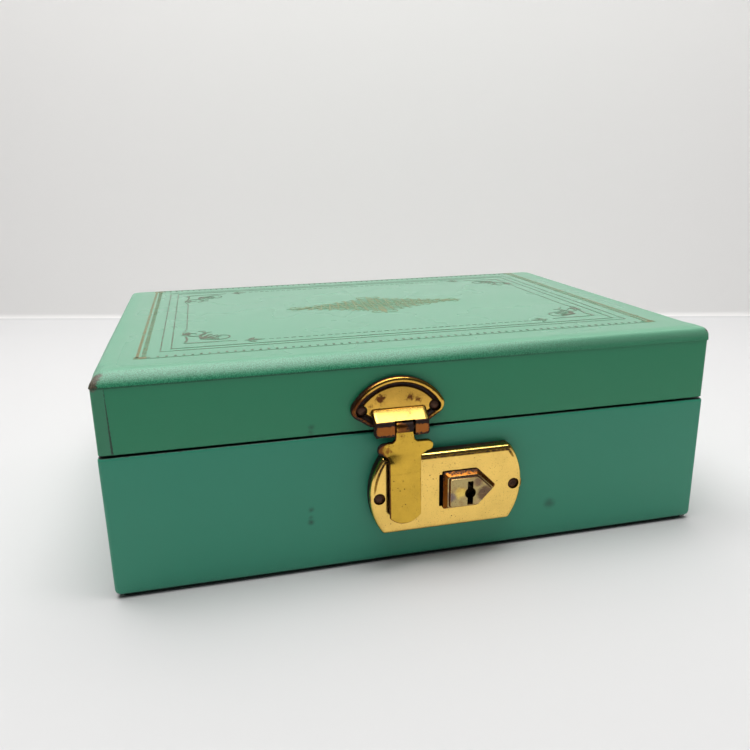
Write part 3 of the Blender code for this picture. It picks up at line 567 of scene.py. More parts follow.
def dark_paper(name):
    n = Nodes(name)
    fibres = n.noise(1400.0, 5.0, 0.75)
    tone = n.mix(n.fade(fibres, 0.35, 0.7), (0.025, 0.055, 0.045), (0.055, 0.09, 0.075))
    return n.done(color=tone, roughness=0.9, normal=n.bump(fibres, 0.08, 0.6))


def gold_foil(name, light, dark, share):
    """Old foil tooling: brown-gold, thin in places so that the leatherette shows through."""
    n = Nodes(name)
    loss = n.noise(420.0, 5.0, 0.7)
    grain = n.noise(2600.0, 3.0, 0.7)
    worn = n.math("ADD", n.fade(loss, 0.48, 0.66, 0.0, share), n.fade(grain, 0.6, 0.8, 0.0, 0.5), True)
    tone = n.mix(worn, n.mix(n.fade(grain, 0.35, 0.7), light, dark), tint(LID_GREEN, 0.85))
    return n.done(color=tone, metallic=(1.0 - worn) * 0.25, roughness=0.45, coat=0.4,
                  coat_roughness=0.3, normal=n.bump(grain, 0.03, 0.4))


# ------------ the covers

AT_EDGE = 4.2  # inset of the ring where the lid's round edge meets its flat top
# the third value of each row is the wear-and-light value: where it is high the pebbles stand out and the
# bevel takes a painted sheen
EDGE = ((0.0, 0.0, 0.9), (0.09, 0.24, 1.0), (0.2, 0.42, 1.0), (0.33, 0.58, 1.0), (0.48, 0.73, 1.0),
        (0.63, 0.84, 1.0), (0.78, 0.925, 1.0), (0.9, 0.975, 0.85), (1.0, 1.0, 0.6))  # (in, up, wear)


def rounded_rectangle(half_x, half_y, radius):
    """A counter-clockwise rounded rectangle with points along its sides."""
    corners = [arc(sign_x * (half_x - radius), sign_y * (half_y - radius), radius, start, start + 90, 6)
               for sign_x, sign_y, start in ((1, -1, -90), (1, 1, 0), (-1, 1, 90), (-1, -1, 180))]
    points = []
    for i, corner in enumerate(corners):
        points += corner + between(corner[-1], corners[(i + 1) % 4][0], 60 if i % 2 else 36, 1)
    return points


def cover_ring(inset, z, swollen=True):
    """One ring of a cover. The sheet is a little uneven over its boards."""
    ring = []
    for x, y in rounded_rectangle(HALF_X - inset, HALF_Y - inset, CORNER + 0.45 * min(inset, 4.0)):
        place = Vector((x, y, z))
        swell = 0.08 * noise.noise(place * 0.03) + 0.025 * noise.noise(place * 0.14) - 0.09
        if swollen and abs(y) > abs(x) - (HALF_X - HALF_Y):
            y += math.copysign(swell, y)
        elif swollen:
            x += math.copysign(swell, x)
        ring.append((x, y, z))
    return ring


def lid_edge_ring(share_in, share_up):
    """A ring of the round edge between the seam and the flat top.

    At the front the edge is blunt at the left, and tight and steep at the right.
    """
    ring = []
    lowest = SEAM_Z + 0.12
    for (x, y, _), (inner_x, inner_y, _) in zip(cover_ring(0.0, SEAM_Z), cover_ring(AT_EDGE, TOP)):
        width, steepness = 2.2, 1.0
        if y < -HALF_Y + 6:
            width = 3.5 - 2.2 * smooth_step(x, -10.0, 50.0)
            steepness = 1 + 0.9 * smooth_step(x, -10.0, 60.0)
        reach = share_in * width / AT_EDGE
        ring.append((x + (inner_x - x) * reach, y + (inner_y - y) * reach,
                     lowest + (TOP - lowest) * share_up ** (1 / steepness)))
    return ring


def build_lid_cover():
    """The lid's side strip with a vertical overlap at its left, under a sheet wrapped over the top."""
    low = LID_LOW.z
    inner = [(4.5, TOP - COVER), (COVER + 0.4, SEAM_Z - 2.0), (COVER + 0.4, low + COVER)]
    outer = [(LIP, low + COVER, 0.0), (LIP, low, 0.0), (0.85, low, 0.3), (0.45, low + 0.06, 0.5),
             (0.22, low + 0.3, 0.4), (SEAM_STEP, low + 0.8, 0.1)]
    outer += [(SEAM_STEP, z, 0.0) for z in climb(low + 0.8, SEAM_Z, 8)]
    # the seam's lower edge gets a wear-and-light value so that its pebbles are darker: painted shade in the
    # seam
    outer += [(0.02, SEAM_Z - 0.02, 0.4)]
    rings = [cover_ring(inset, z, False) for inset, z in inner]
    rings += [cover_ring(inset, z) for inset, z, _ in outer]
    rings += [lid_edge_ring(share_in, share_up) for share_in, share_up, _ in EDGE]
    rings += [cover_ring(6.5, TOP)]
    wear_and_light = [0.0] * len(inner) + [w for _, _, w in outer + list(EDGE)] + [0.0]
    dark_rub = (0.09, 0.10, 0.075)
    worn = [((-HALF_X + 1.6, -HALF_Y + 1.6, TOP - 0.6), 1.5, BOARD_BROWN),
            ((-HALF_X + 0.8, -HALF_Y + 0.8, TOP - 2.8), 1.4, BOARD_BROWN),
            ((HALF_X - 0.9, -HALF_Y + 0.9, TOP - 0.8), 0.5, dark_rub),
            ((HALF_X - 0.4, -HALF_Y + 0.4, TOP - 3.0), 0.1, dark_rub),
            ((HALF_X - 1.0, HALF_Y - 1.0, TOP - 1.0), 0.8, BOARD_BROWN),
            ((-HALF_X + 1.0, HALF_Y - 1.0, TOP - 1.0), 0.7, BOARD_BROWN)]
    smudges = [((-33.5, -HALF_Y, 44.1), 0.4, 0.98), ((-33.8, -HALF_Y, 42.9), 0.3, 0.9)]
    # painted shade lines in the seam under the wrapped top and in the parting at the lid's lower edge
    marks_and_shade = (LID_GREEN, worn, smudges, [(SEAM_Z, 0.34, 0.5, 0.1), (low - 0.1, 0.5, 0.95, 0.95)])
    add_piece(finish_mesh(ring_bmesh(rings, wear_and_light), "leather_lid", 38), "leather_lid",
              leatherette("lid_leatherette", *marks_and_shade), "lid", ("lid_cover",))
    build_corner_overlap(leatherette("lap_leatherette", *marks_and_shade, -HALF_X + 3.85))


def climb(low, high, steps):
    """Even heights above low, up to high."""
    return [low + (high - low) * i / steps for i in range(1, steps + 1)]


def build_corner_overlap(material):
    """The end of the side strip, lapped over the front near the left corner, with a ragged edge."""
    low, high = LID_LOW.z + 0.5, SEAM_Z + 0.25
    left, thick = -HALF_X - 0.02, 0.26
    front = -HALF_Y + SEAM_STEP
    rings = []
    for z in [low] + climb(low, high, 40):
        ragged = 0.16 * noise.noise(Vector((z * 2.1, 3.0, 1.0)))
        edge = -HALF_X + 4.1 - 0.5 * (z - low) / (high - low) + ragged
        section = [(left + 0.9, front + 0.3), (left + 0.9, front - thick * 0.7), (left + 1.6, front - thick),
                   (edge - 0.25, front - thick), (edge, front - thick * 0.55), (edge + 0.02, front + 0.3)]
        rings.append([(x, y, z) for x, y in section])
    bm = ring_bmesh(rings, [[0.0, 0.2, 0.0, 0.1, 0.9, 1.0]] * len(rings))
    add_piece(finish_mesh(bm, "lapped_corner", 35), "lapped_corner", material, "lid")


def build_base_cover():
    """The base's cover, from its turned-in foot over the wall to the lip at the parting."""
    low, high = BASE_LOW.z, BASE_HIGH.z
    profile = [(2.6, low + 0.15, 0.0), (1.7, low, 0.3), (1.0, low + 0.12, 0.5), (0.45, low + 0.5, 0.5),
               (0.12, low + 1.1, 0.3), (0.0, low + 1.9, 0.1)]
    profile += [(0.0, z, 0.0) for z in climb(low + 1.9, high - 0.9, 12)]
    profile += [(0.03, high - 0.5, 0.1), (0.16, high - 0.2, 0.35), (0.4, high - 0.04, 0.5),
                (0.8, high, 0.3), (LIP, high, 0.0), (LIP, high - COVER, 0.0),
                (COVER + 0.2, high - COVER, 0.0), (COVER + 0.2, low + 2.0, 0.0), (2.6, low + 0.9, 0.0)]
    rings = [cover_ring(inset, z, inset < 0.9) for inset, z, _ in profile]
    bm = ring_bmesh(rings, [wear_and_light for _, _, wear_and_light in profile], joined=True)
    pocket_low, pocket_high = box_mm("lock_back_plate")
    room = 0.3
    pocket = block((pocket_low.x - room, FACE - 2, pocket_low.z - room),
                   (pocket_high.x + room, FACE + 1.2, pocket_high.z + room))
    mesh = apply_cuts(finish_mesh(bm, "leather_base"), [("DIFFERENCE", pocket)])
    smudges = [((38.5, -HALF_Y, 12.1), 1.5, 0.66), ((-34.7, -HALF_Y, 19.7), 0.3, 0.95),
               ((-34.8, -HALF_Y, 15.9), 0.35, 0.95), ((-34.7, -HALF_Y, 17.4), 0.1, 0.7)]
    # painted shade lines in the parting at the top and in the contact shadow along the foot
    painted_shade_lines = [(high + 0.05, 0.32, 0.95, 0.95), (low, 0.9, 0.85, 0.85)]
    worn = [((-HALF_X + 0.5, -HALF_Y + 0.5, low + 0.3), 0.1, BOARD_BROWN)]
    material = leatherette("base_leatherette", BASE_GREEN, worn, smudges, painted_shade_lines)
    add_piece(mesh, "leather_base", material, "base", ("base_cover",))


# ------------ gold tooling on the lid

BAND_X, BAND_Y, BAND = 77.0, 54.5, 2.6  # centre of the outer band, and its width
PATTERN_Y = 5.0  # the whole pattern was pressed a little towards the back
FOIL = 0.035  # how far foil stands over the leatherette
SUNK = 0.2  # how deep a strip's underside lies in it
SIDES = (-1, 1)


class Foil:
    """Flat strips of foil collected into one mesh on the lid's top."""

    def __init__(self):
        self.bm = bmesh.new()
        self.laid = 0

    def row(self, points, z):
        return [self.bm.verts.new((x * MM, (y + PATTERN_Y) * MM, z * MM)) for x, y in points]

    def height(self):
        """Each strip is laid a hair higher than the last, so that no two faces share a plane."""
        self.laid += 1
        return TOP + FOIL + 0.0025 * (self.laid % 9)

    def polygon(self, points):
        """A thin slab over a convex outline."""
        high = self.row(points, self.height())
        low = self.row(points, TOP - SUNK)
        self.bm.faces.new(high)
        self.bm.faces.new(list(reversed(low)))
        for i in range(len(points)):
            j = (i + 1) % len(points)
            self.bm.faces.new((low[i], low[j], high[j], high[i]))

    def bar(self, x, y, size_x, size_y):
        half_x, half_y = size_x / 2, size_y / 2
        self.polygon([(x - half_x, y - half_y), (x + half_x, y - half_y),
                      (x + half_x, y + half_y), (x - half_x, y + half_y)])

    def line(self, points, width, end_width=None):
        """A ribbon along the points, its width running from width to end_width."""
        end_width = width if end_width is None else end_width
        left, right = [], []
        last = len(points) - 1
        for i, (x, y) in enumerate(points):
            ax, ay = points[max(0, i - 1)]
            bx, by = points[min(last, i + 1)]
            way = Vector((bx - ax, by - ay)).normalized()
            half = (width + (end_width - width) * i / last) / 2
            left.append((x - way.y * half, y + way.x * half))
            right.append((x + way.y * half, y - way.x * half))
        low_r, low_l = (self.row(side, TOP - SUNK) for side in (right, left))
        top = self.height()
        high_r, high_l = (self.row(side, top) for side in (right, left))
        for a, b in ((high_r, high_l), (low_l, low_r), (low_r, high_r), (high_l, low_l)):
            for i in range(last):
                self.bm.faces.new((a[i], a[i + 1], b[i + 1], b[i]))
        self.bm.faces.new((low_l[0], low_r[0], high_r[0], high_l[0]))
        self.bm.faces.new((low_r[-1], low_l[-1], high_l[-1], high_r[-1]))

    def leaf(self, x, y, length, width, angle):
        """A pointed leaf from a stalk point."""
        a = math.radians(angle)
        along, across = Vector((math.cos(a), math.sin(a))), Vector((-math.sin(a), math.cos(a)))
        shape = ((0, 0), (0.3, -0.42), (0.55, -0.5), (1, 0), (0.55, 0.5), (0.3, 0.42))
        self.polygon([tuple(Vector((x, y)) + along * (s * length) + across * (t * width)) for s, t in shape])

    def done(self, name, material):
        bmesh.ops.recalc_face_normals(self.bm, faces=self.bm.faces)
        add_piece(mesh_of(self.bm, name), name, material, "lid")


def spiral(x, y, start_radius, end_radius, start, turn, steps):
    """Points of a curl about a centre, in degrees."""
    points = []
    for share in (i / steps for i in range(steps + 1)):
        radius = start_radius + (end_radius - start_radius) * share
        angle = math.radians(start + turn * share)
        points.append((x + radius * math.cos(angle), y + radius * math.sin(angle)))
    return points


def build_border(side_foil, row_foil):
    """A solid line with a dense ladder inside it at each end, and rows of dots along the front and back."""
    ends, rows = Foil(), Foil()
    dot_pitch, rung_pitch = 2.3, 1.5
    outer_x, outer_y = BAND_X + BAND / 2, BAND_Y + BAND / 2
    dots = int((2 * outer_x - 2 * BAND) / dot_pitch)
    rungs = int((2 * outer_y - 2 * BAND) / rung_pitch)
    for side in SIDES:
        ends.bar(side * (outer_x - 0.4), 0, 0.8, 2 * outer_y - BAND)
        for i in range(rungs + 1):
            ends.bar(side * (BAND_X - 0.75), (i - rungs / 2) * rung_pitch, 1.2, 0.65)
        for other in SIDES:
            ends.bar(side * BAND_X, other * BAND_Y, BAND + 0.8, BAND * 0.8)
        rows.bar(0, side * (outer_y - 0.15), 2 * outer_x - BAND, 0.24)
        for i in range(dots + 1):
            rows.bar((i - dots / 2) * dot_pitch, side * (BAND_Y - 0.3), 0.7, 1.2)
    ends.done("tooling_border", side_foil)
    rows.done("tooling_rows", row_foil)


def build_frames(material):
    """Two thin frames, and a third broken one between the corner ornaments."""
    foil = Foil()
    width = 0.36
    for x, y in ((72.1, 48.9), (69.2, 46.4)):
        for side in SIDES:
            foil.bar(side * x, 0, width, 2 * y + width)
            foil.bar(0, side * y, 2 * x - width, width)
    dash = 2.2
    count = int(82 / dash)
    for side in SIDES:
        foil.bar(side * 65.2, 0, 0.34, 44)
        for i in range(count + 1):
            foil.bar((i - count / 2) * dash, side * 42.3, dash * 0.62, width)
    foil.done("tooling_frames", material)


# for the corner at +X +Y: (x, y, start radius, end radius, start, turn, steps), width, end width
CORNER_CURLS = (((55.2, 35.0, 4.8, 0.7, -60, 470, 26), 0.6, 0.35),
                ((56.0, 34.0, 6.6, 3.8, -75, 170, 14), 0.55, 0.3),
                ((63.0, 29.5, 4.1, 0.6, -110, -430, 24), 0.6, 0.35))
CORNER_STALKS = (((65.6, 40.6), (64.9, 36.5), (65.4, 32.0), (66.4, 27.5), (65.2, 22.0)),
                 ((65.6, 40.6), (60.5, 41.4), (54.5, 41.0), (50.6, 41.8)))
# (x, y, length, width, angle): five leaves of a palmette, and five along the stalks
CORNER_LEAVES = ((61.0, 37.0, -7.4, 1.1, 45), (61.0, 37.0, -6.6, 1.1, 22), (61.0, 37.0, -6.6, 1.1, 68),
                 (61.0, 37.0, -5.4, 1.1, 0), (61.0, 37.0, -5.8, 1.1, 90),
                 (65.2, 25.5, 5.2, 1.7, 100), (64.6, 27.0, 4.2, 1.4, 60), (48.5, 42.0, 6.0, 1.8, 180),
                 (47.5, 42.3, 3.6, 1.3, 130), (47.5, 41.9, 3.6, 1.3, 230))


def build_corner_ornaments(material):
    """A palmette between two curls at each corner, with a small leaf at the dashed line's end."""
    foil = Foil()
    for side_x, side_y in ((x, y) for x in SIDES for y in SIDES):
        lines = [(spiral(*curl), width, end_width) for curl, width, end_width in CORNER_CURLS]
        lines += [(stalk, 0.8, 0.3) for stalk in CORNER_STALKS]
        leaves = []
        for x, y, length, width, angle in CORNER_LEAVES:
            a = math.radians(angle)
            way = math.degrees(math.atan2(side_y * math.sin(a), side_x * math.cos(a)))
            leaves.append((side_x * x, side_y * y, length, width, way))
        for leaf in leaves[:5]:
            foil.leaf(*leaf)
        for points, width, end_width in lines:
            foil.line([(side_x * x, side_y * y) for x, y in points], width, end_width)
        for leaf in leaves[5:]:
            foil.leaf(*leaf)
    foil.done("tooling_corners", material)


MEDALLION_STEPS = ((0.0, 12.6), (3.0, 11.2), (6.0, 9.4), (9.5, 8.0), (13.0, 6.2), (17.0, 4.8), (20.5, 3.2),
                   (24.0, 1.9), (27.0, 1.0), (29.5, 0.0))  # (distance from the middle, half height)


def build_medallion(material):
    """A stepped lozenge of slanting hatch lines, with a tall spindle at its middle and curls at its ends."""
    foil = Foil()
    middle_x, middle_y, pitch, slant = 1.6, 0.8, 1.55, 0.8
    longest = MEDALLION_STEPS[-1][0]
    count = int(longest / pitch)
    for i in range(-count, count + 1):
        reach = [half for start, half in MEDALLION_STEPS if start <= abs(i) * pitch][-1]
        lean = slant if i % 2 else -slant
        x = middle_x + i * pitch
        foil.line([(x - lean, middle_y - reach), (x, middle_y), (x + lean, middle_y + reach)], 0.5)
    for start, half in MEDALLION_STEPS[1:-1]:
        for side in SIDES:
            foil.bar(middle_x, middle_y + side * half, 2 * start + 1.0, 0.34)
            for up in (1, -1):
                foil.leaf(middle_x + side * start, middle_y + up * half, 2.2, 0.9, up * (90 - side * 50))
    for side in SIDES:
        outwards = 0 if side > 0 else 180
        foil.leaf(middle_x, middle_y + side * 4.0, 13.0, 2.6, 90 * side)
        foil.leaf(middle_x + side * 24.0, middle_y, 8.6, 1.7, outwards)
        for other in SIDES:
            turn = 330 * other * side
            for x, y, radius, start, sweep in ((longest, 2.0, 1.9, -90 * other, turn),
                                               (3.2, 13.4, 2.2, 180 - outwards, -turn)):
                curl = spiral(middle_x + side * x, middle_y + other * y, radius, 0.5, start, sweep, 16)
                foil.line(curl, 0.4, 0.25)
    foil.done("tooling_medallion", material)


# ------------ hasp plate


def moon_outline(inset):
    """An arch over two rounded tips, with straight sides running in to a narrower foot."""
    centre_x = (MOON_LOW.x + MOON_HIGH.x) / 2
    half = (MOON_HIGH.x - MOON_LOW.x) / 2 + 0.1
    tip_z, tip, foot_z, lean = 48.2, 3.1, 43.0, 57
    rise = MOON_HIGH.z - tip_z
    radius = (half**2 + rise**2) / (2 * rise)
    middle_z = MOON_HIGH.z - radius
    tip_x = math.sqrt((radius - tip) ** 2 - (tip_z - middle_z) ** 2)
    touch = math.degrees(math.atan2(tip_z - middle_z, tip_x))
    slope = math.radians(lean)
    foot = tip_x + (tip - inset + math.sin(slope) * (foot_z + inset - tip_z)) / math.cos(slope)
    points = arc(0, middle_z, radius - inset, touch, 180 - touch, 48)
    points += arc(-tip_x, tip_z, tip - inset, 180 - touch, 180 + lean, 14)[1:]
    points += [(-foot, foot_z + inset), (foot, foot_z + inset)]
    points += arc(tip_x, tip_z, tip - inset, -lean, touch, 14)[:-1]
    return [(centre_x + x, z) for x, z in points]


BEAD = 0.98  # half the width of the rolled bead
# painted shadow on the bead's dark outer side; the black inside the bead is dirt in its groove
BEAD_WEAR_AND_SHADE = (0.9, 0.7, 0.4, 0.1, 0.0, 0.0, 0.2, 0.7, 1.0, 1.0, 1.0)  # over the bead, from outside to inside


def build_hasp_plate(material):
    """The half-moon: a rolled bead round a dished face."""
    # the outer wall is painted dark: painted shadow where the plate meets the leatherette
    profile = [(0.3, 0.0, 1.0), (0.06, 0.12, 1.0), (0.0, 0.35, 0.95), (0.0, 1.0, 0.85)]
    profile += [(BEAD + BEAD * x, 1.05 + 0.95 * z, worn)
                for (x, z), worn in zip(arc(0, 0, 1, 180, 0, 10), BEAD_WEAR_AND_SHADE)]
    profile += [(2.05, 0.98, 1.0), (2.35, 1.0, 0.92), (2.6, 1.12, 0.72), (2.8, 1.26, 0.4), (3.0, 1.3, 0.0)]
    bm = pressed(moon_outline, profile, FACE)

    # painted dark reflection on the bead's left; the bead is also darkened at its foot
    def darker_bead_at_left_and_foot(point, wear_and_light):
        side = smooth_step(-point.x, 15.0, 21.5)
        foot = 1 - smooth_step(point.z, 45.0, 47.6)
        raised = smooth_step(-point.y, -FACE + 1.35, -FACE + 1.6)
        return wear_and_light + (0.5 * side + 0.6 * foot) * raised

    change_wear_and_light(bm, darker_bead_at_left_and_foot)
    cuts = [("DIFFERENCE", rod_along_y(*middle_of(nail), FACE - 6, FACE + 2, NAIL_HOLE))
            for nail in ("hasp_plate_nail_1", "hasp_plate_nail_2")]
    mesh = apply_cuts(finish_mesh(bm, "half_moon_plate", 50), cuts, 50)
    add_piece(mesh, "half_moon_plate", material, "lid", ("hasp_plate",))


def housing_section():
    """The folded sheet seen from the side: (depth, height, wear-and-light value) of its roof, nose, front
    and hem. The black band under the nose's fold and the darker front are painted shade mixed with tarnish.
    """
    back, nose = FACE - 1.2, MOON_LOW.y
    top, front_top, bottom, fold, hem = 48.1, 45.75, MOON_LOW.z, 0.95, 0.9
    points = [(back, top - 1.7, 0.9), (back, top, 0.9), (back - 0.35, top + 0.02, 0.3),
              (back - 0.9, top - 0.28, 0.0)]
    round_nose = arc(nose + fold, front_top - fold, fold, 112, 176, 8)
    # painted shade: black under the fold of the nose, and darker down the front
    points += [(y, z, 0.0 if i < 2 else 1.0) for i, (y, z) in enumerate(round_nose)]
    points += [(nose, front_top - fold - 0.35, 0.9), (nose, front_top - fold - 0.7, 0.55),
               (nose, bottom + hem + 0.9, 0.5), (nose, bottom + hem + 0.2, 0.6)]
    points += [(y, z, 0.85) for y, z in arc(nose + hem, bottom + hem, hem, 190, 270, 5)]
    inside = nose + 3.2
    return points + [(nose + 2.6, bottom, 0.9), (inside, bottom + 0.6, 0.9), (inside, front_top - 1.4, 0.9)]


def build_housing(material):
    """The knuckle housing that covers the pin, open at the middle for the hasp's neck."""
    left, right, soft = -17.0, -1.7, 0.55
    section = housing_section()
    middle_y = sum(p[0] for p in section) / len(section)
    middle_z = sum(p[1] for p in section) / len(section)
    softened = ((0, soft, 0.45), (soft * 0.3, soft * 0.35, 0.35), (soft, 0.0, 0.1), (1.2, 0.0, 0.0))
    stations = [(left + x, inset, worn) for x, inset, worn in softened]
    stations += [(right - x, inset, worn) for x, inset, worn in reversed(softened)]
    rings, wear_and_light = [], []
    for x, inset, worn in stations:
        ways = [Vector((middle_y - y, middle_z - z)).normalized() * inset for y, z, _ in section]
        rings.append([(x, y + way.x, z + way.y) for (y, z, _), way in zip(section, ways)])
        wear_and_light.append([own + worn for _, _, own in section])
    low_x, high_x = HASP_AXIS.x - 2.95, HASP_AXIS.x + 2.95
    front = MOON_LOW.y - 2
    mouth = block((low_x, front, MOON_LOW.z - 2), (high_x, FACE - 1.0, HASP_AXIS.z + 2.25), 0.2)
    notch = block((low_x, front, HASP_AXIS.z), (high_x, HASP_AXIS.y - 1.4, HASP_AXIS.z + 4.0), 0.2)
    cuts = [("DIFFERENCE", mouth), ("DIFFERENCE", notch), pin_bore(left - 2, right + 2)]
    mesh = apply_cuts(finish_mesh(ring_bmesh(rings, wear_and_light), "knuckle_housing", 50), cuts)
    add_piece(mesh, "knuckle_housing", material, "lid")


# ------------ hasp


def hasp_outline():
    """Neck, two side ears with rounded ends, and a tongue with a rounded end, about x = 0."""
    ear_r, ear_z, tongue, neck, ears, bow = 1.6, 37.8, 4.65, 2.6, 8.05, 2.2
    bow_r = (tongue**2 + bow**2) / (2 * bow)
    spread = math.degrees(math.asin(tongue / bow_r))
    right = [(neck, HASP_AXIS.z + 0.2), (neck, 41.0), (neck + 0.15, 40.1), (neck + 0.9, 39.4)]
    right += arc(ears - ear_r, ear_z, ear_r, 90, -90, 12)
    right += [(tongue + 1.4, 35.9), (tongue + 0.5, 35.3), (tongue + 0.1, 34.8), (tongue, 34.2)]
    end = arc(0, HASP_FOOT + bow_r, bow_r, -90 + spread, -90 - spread, 20)
    left = [(-x, z) for x, z in reversed(right)]
    return list(reversed(right + end + left))


def rolled_end(left, right, radius):
    """The hasp's rolled end round its pin: bright on top, with a painted dark reflection across its front.
    """
    steps, soft = 48, 0.25
    angles = [2 * math.pi * i / steps for i in range(steps)]
    # painted dark reflection across the front of the roll
    black_and_dark_reflection = [smooth_step(-math.cos(a), 0.82, 0.93) * smooth_step(math.sin(a), -0.5, -0.1) for a in angles]
    rings, wear_and_light = [], []
    for x, inset in ((left, soft), (left + soft, 0.0), (right - soft, 0.0), (right, soft)):
        reach = radius - inset
        rings.append([(x, HASP_AXIS.y + reach * math.cos(a), HASP_AXIS.z + reach * math.sin(a))
                      for a in angles])
        wear_and_light.append([front + 0.6 * (inset > 0) for front in black_and_dark_reflection])
    return loose_object(ring_bmesh(rings, wear_and_light), "rolled_end")


CREASE_Z = 30.5  # the crease across the strap
LEVELS = (38.5, 37.0, 35.5, 33.5, 32.0, 31.2, 30.85, 30.5, 30.15, 29.8, 26, 23, 20, 17.5)
COLUMNS = (-14.5, -13.0, -11.6, -10.2, -8.7, -7.2, -5.8, -4.4, -3.4, -2.4)


def strap_bend(x, z, on_face):
    """How far back a point of the strap is moved: the tongue and its ears are bent a little forwards."""
    tongue = 1 - smooth_step(z, 33.0, 36.5)
    shift = -1.05 * tongue * (HASP_AXIS.x + 4.65 - x) / 9.3
    if z < 30:
        shift -= (30 - z) * 0.012
    if abs(z - CREASE_Z) < 0.2 and on_face:
        shift += 0.12
    if x < -13.2 and z > 34.5:
        shift -= ((-13.2 - x) / 3.4) ** 1.5 * 1.3
    if x > -3.8 and z > 34.5:
        shift -= ((x + 3.8) / 3.2) ** 1.5 * 0.35
    return shift


def build_hasp(material):
    """The strap: ears a little bent, a crease across it, and a tongue that hangs slightly clear."""
    outline = [(HASP_AXIS.x + x, z) for x, z in dense(hasp_outline(), 1.2)]
    back = LOCK_FACE - 0.3
    profile = [(0.18, 0.0, 1.0), (0.0, 0.18, 1.0), (0.0, 0.78, 0.85), (0.06, 0.93, 0.6),
               (0.2, 1.0, 0.4), (0.55, 1.02, 0.0)]
    bm = pressed(lambda inset: shrink(outline, inset), profile, back)
    planes = [((0, 0, z), (0, 0, 1)) for z in LEVELS] + [((x, 0, 0), (1, 0, 0)) for x in COLUMNS]
    for point, normal in planes:
        bmesh.ops.bisect_plane(bm, geom=bm.verts[:] + bm.edges[:] + bm.faces[:],
                               plane_co=Vector(point) * MM, plane_no=normal)
    for vertex in bm.verts:
        x, y, z = vertex.co / MM
        vertex.co.y += strap_bend(x, z, y < back - 0.9) * MM

    # painted shade: the strap's edges stay dark at the left, where its side is seen in shadow, and lighter
    # at the right; the curled left ear is darkened too
    def darker_strap_at_left(point, wear_and_light):
        darker_left_ear = 0.6 * smooth_step(-point.x, 13.4, 15.6) * smooth_step(point.z, 35.5, 36.5)
        return wear_and_light * (1 - 0.6 * smooth_step(point.x, HASP_AXIS.x - 1, HASP_AXIS.x + 3)) + darker_left_ear

    change_wear_and_light(bm, darker_strap_at_left)
    barrel = rolled_end(HASP_AXIS.x - 2.55, HASP_AXIS.x + 2.55, 1.95)
    cuts = [("UNION", barrel), pin_bore(HASP_AXIS.x - 6, HASP_AXIS.x + 6, 24)]
    mesh = apply_cuts(finish_mesh(bm, "hasp_strap"), cuts)
    add_piece(mesh, "hasp_strap", material, "hasp", ("hasp",))


# ------------ lock case and button


def lock_outline(inset):
    """A rectangle whose two ends bow outwards, with small rounded corners."""
    half, half_height = (LOCK_HIGH.x - LOCK_LOW.x) / 2, (LOCK_HIGH.z - LOCK_LOW.z) / 2
    bow, corner = 3.8, max(0.25, 1.5 - inset)
    radius = (half_height**2 + bow**2) / (2 * bow)
    middle = half - radius
    # the corner's circle touches the straight side and the bowed end
    up = half_height - inset - corner
    across = math.sqrt((radius - inset - corner) ** 2 - up**2)
    meet = math.degrees(math.atan2(up, across))
    right = arc(middle + across, -up, corner, -90, -meet, 8)[:-1]
    right += arc(middle, 0, radius - inset, -meet, meet, 28)
    right += arc(middle + across, up, corner, meet, 90, 8)[1:]
    left = [(-x, -z) for x, z in right]
    return [(LOCK_X + x, LOCK_Z + z) for x, z in right + left]


RIM = 1.25  # radius of the case's rim
# up the rim: the olive wall and the black line under the rim are painted dark reflection mixed with tarnish
RIM_WEAR_AND_SHADE = (0.42, 0.42, 0.4, 0.3, 0.12, 0.0, 0.0, 0.1, 0.7, 0.84)  # up the rim, from the wall to the face


def darkened_round_the_case(point, wear_and_light):
    """Painted dark reflection mixed with tarnish: olive side walls, black round the upper left, and a thin
    broken line elsewhere.
    """
    top = smooth_step(point.z, 30.0, 32.5)
    left = smooth_step(-point.x, 8.0, 15.0)
    upper = smooth_step(point.z, 22.0, 29.0)
    on_wall = smooth_step(point.y, LOCK_FACE + 0.9, LOCK_FACE + 1.5)
    face_share = 0.3 + 0.7 * max(top, left * upper)
    return wear_and_light * (face_share + (1 - face_share) * on_wall) + (0.25 * top + 0.6 * left) * on_wall


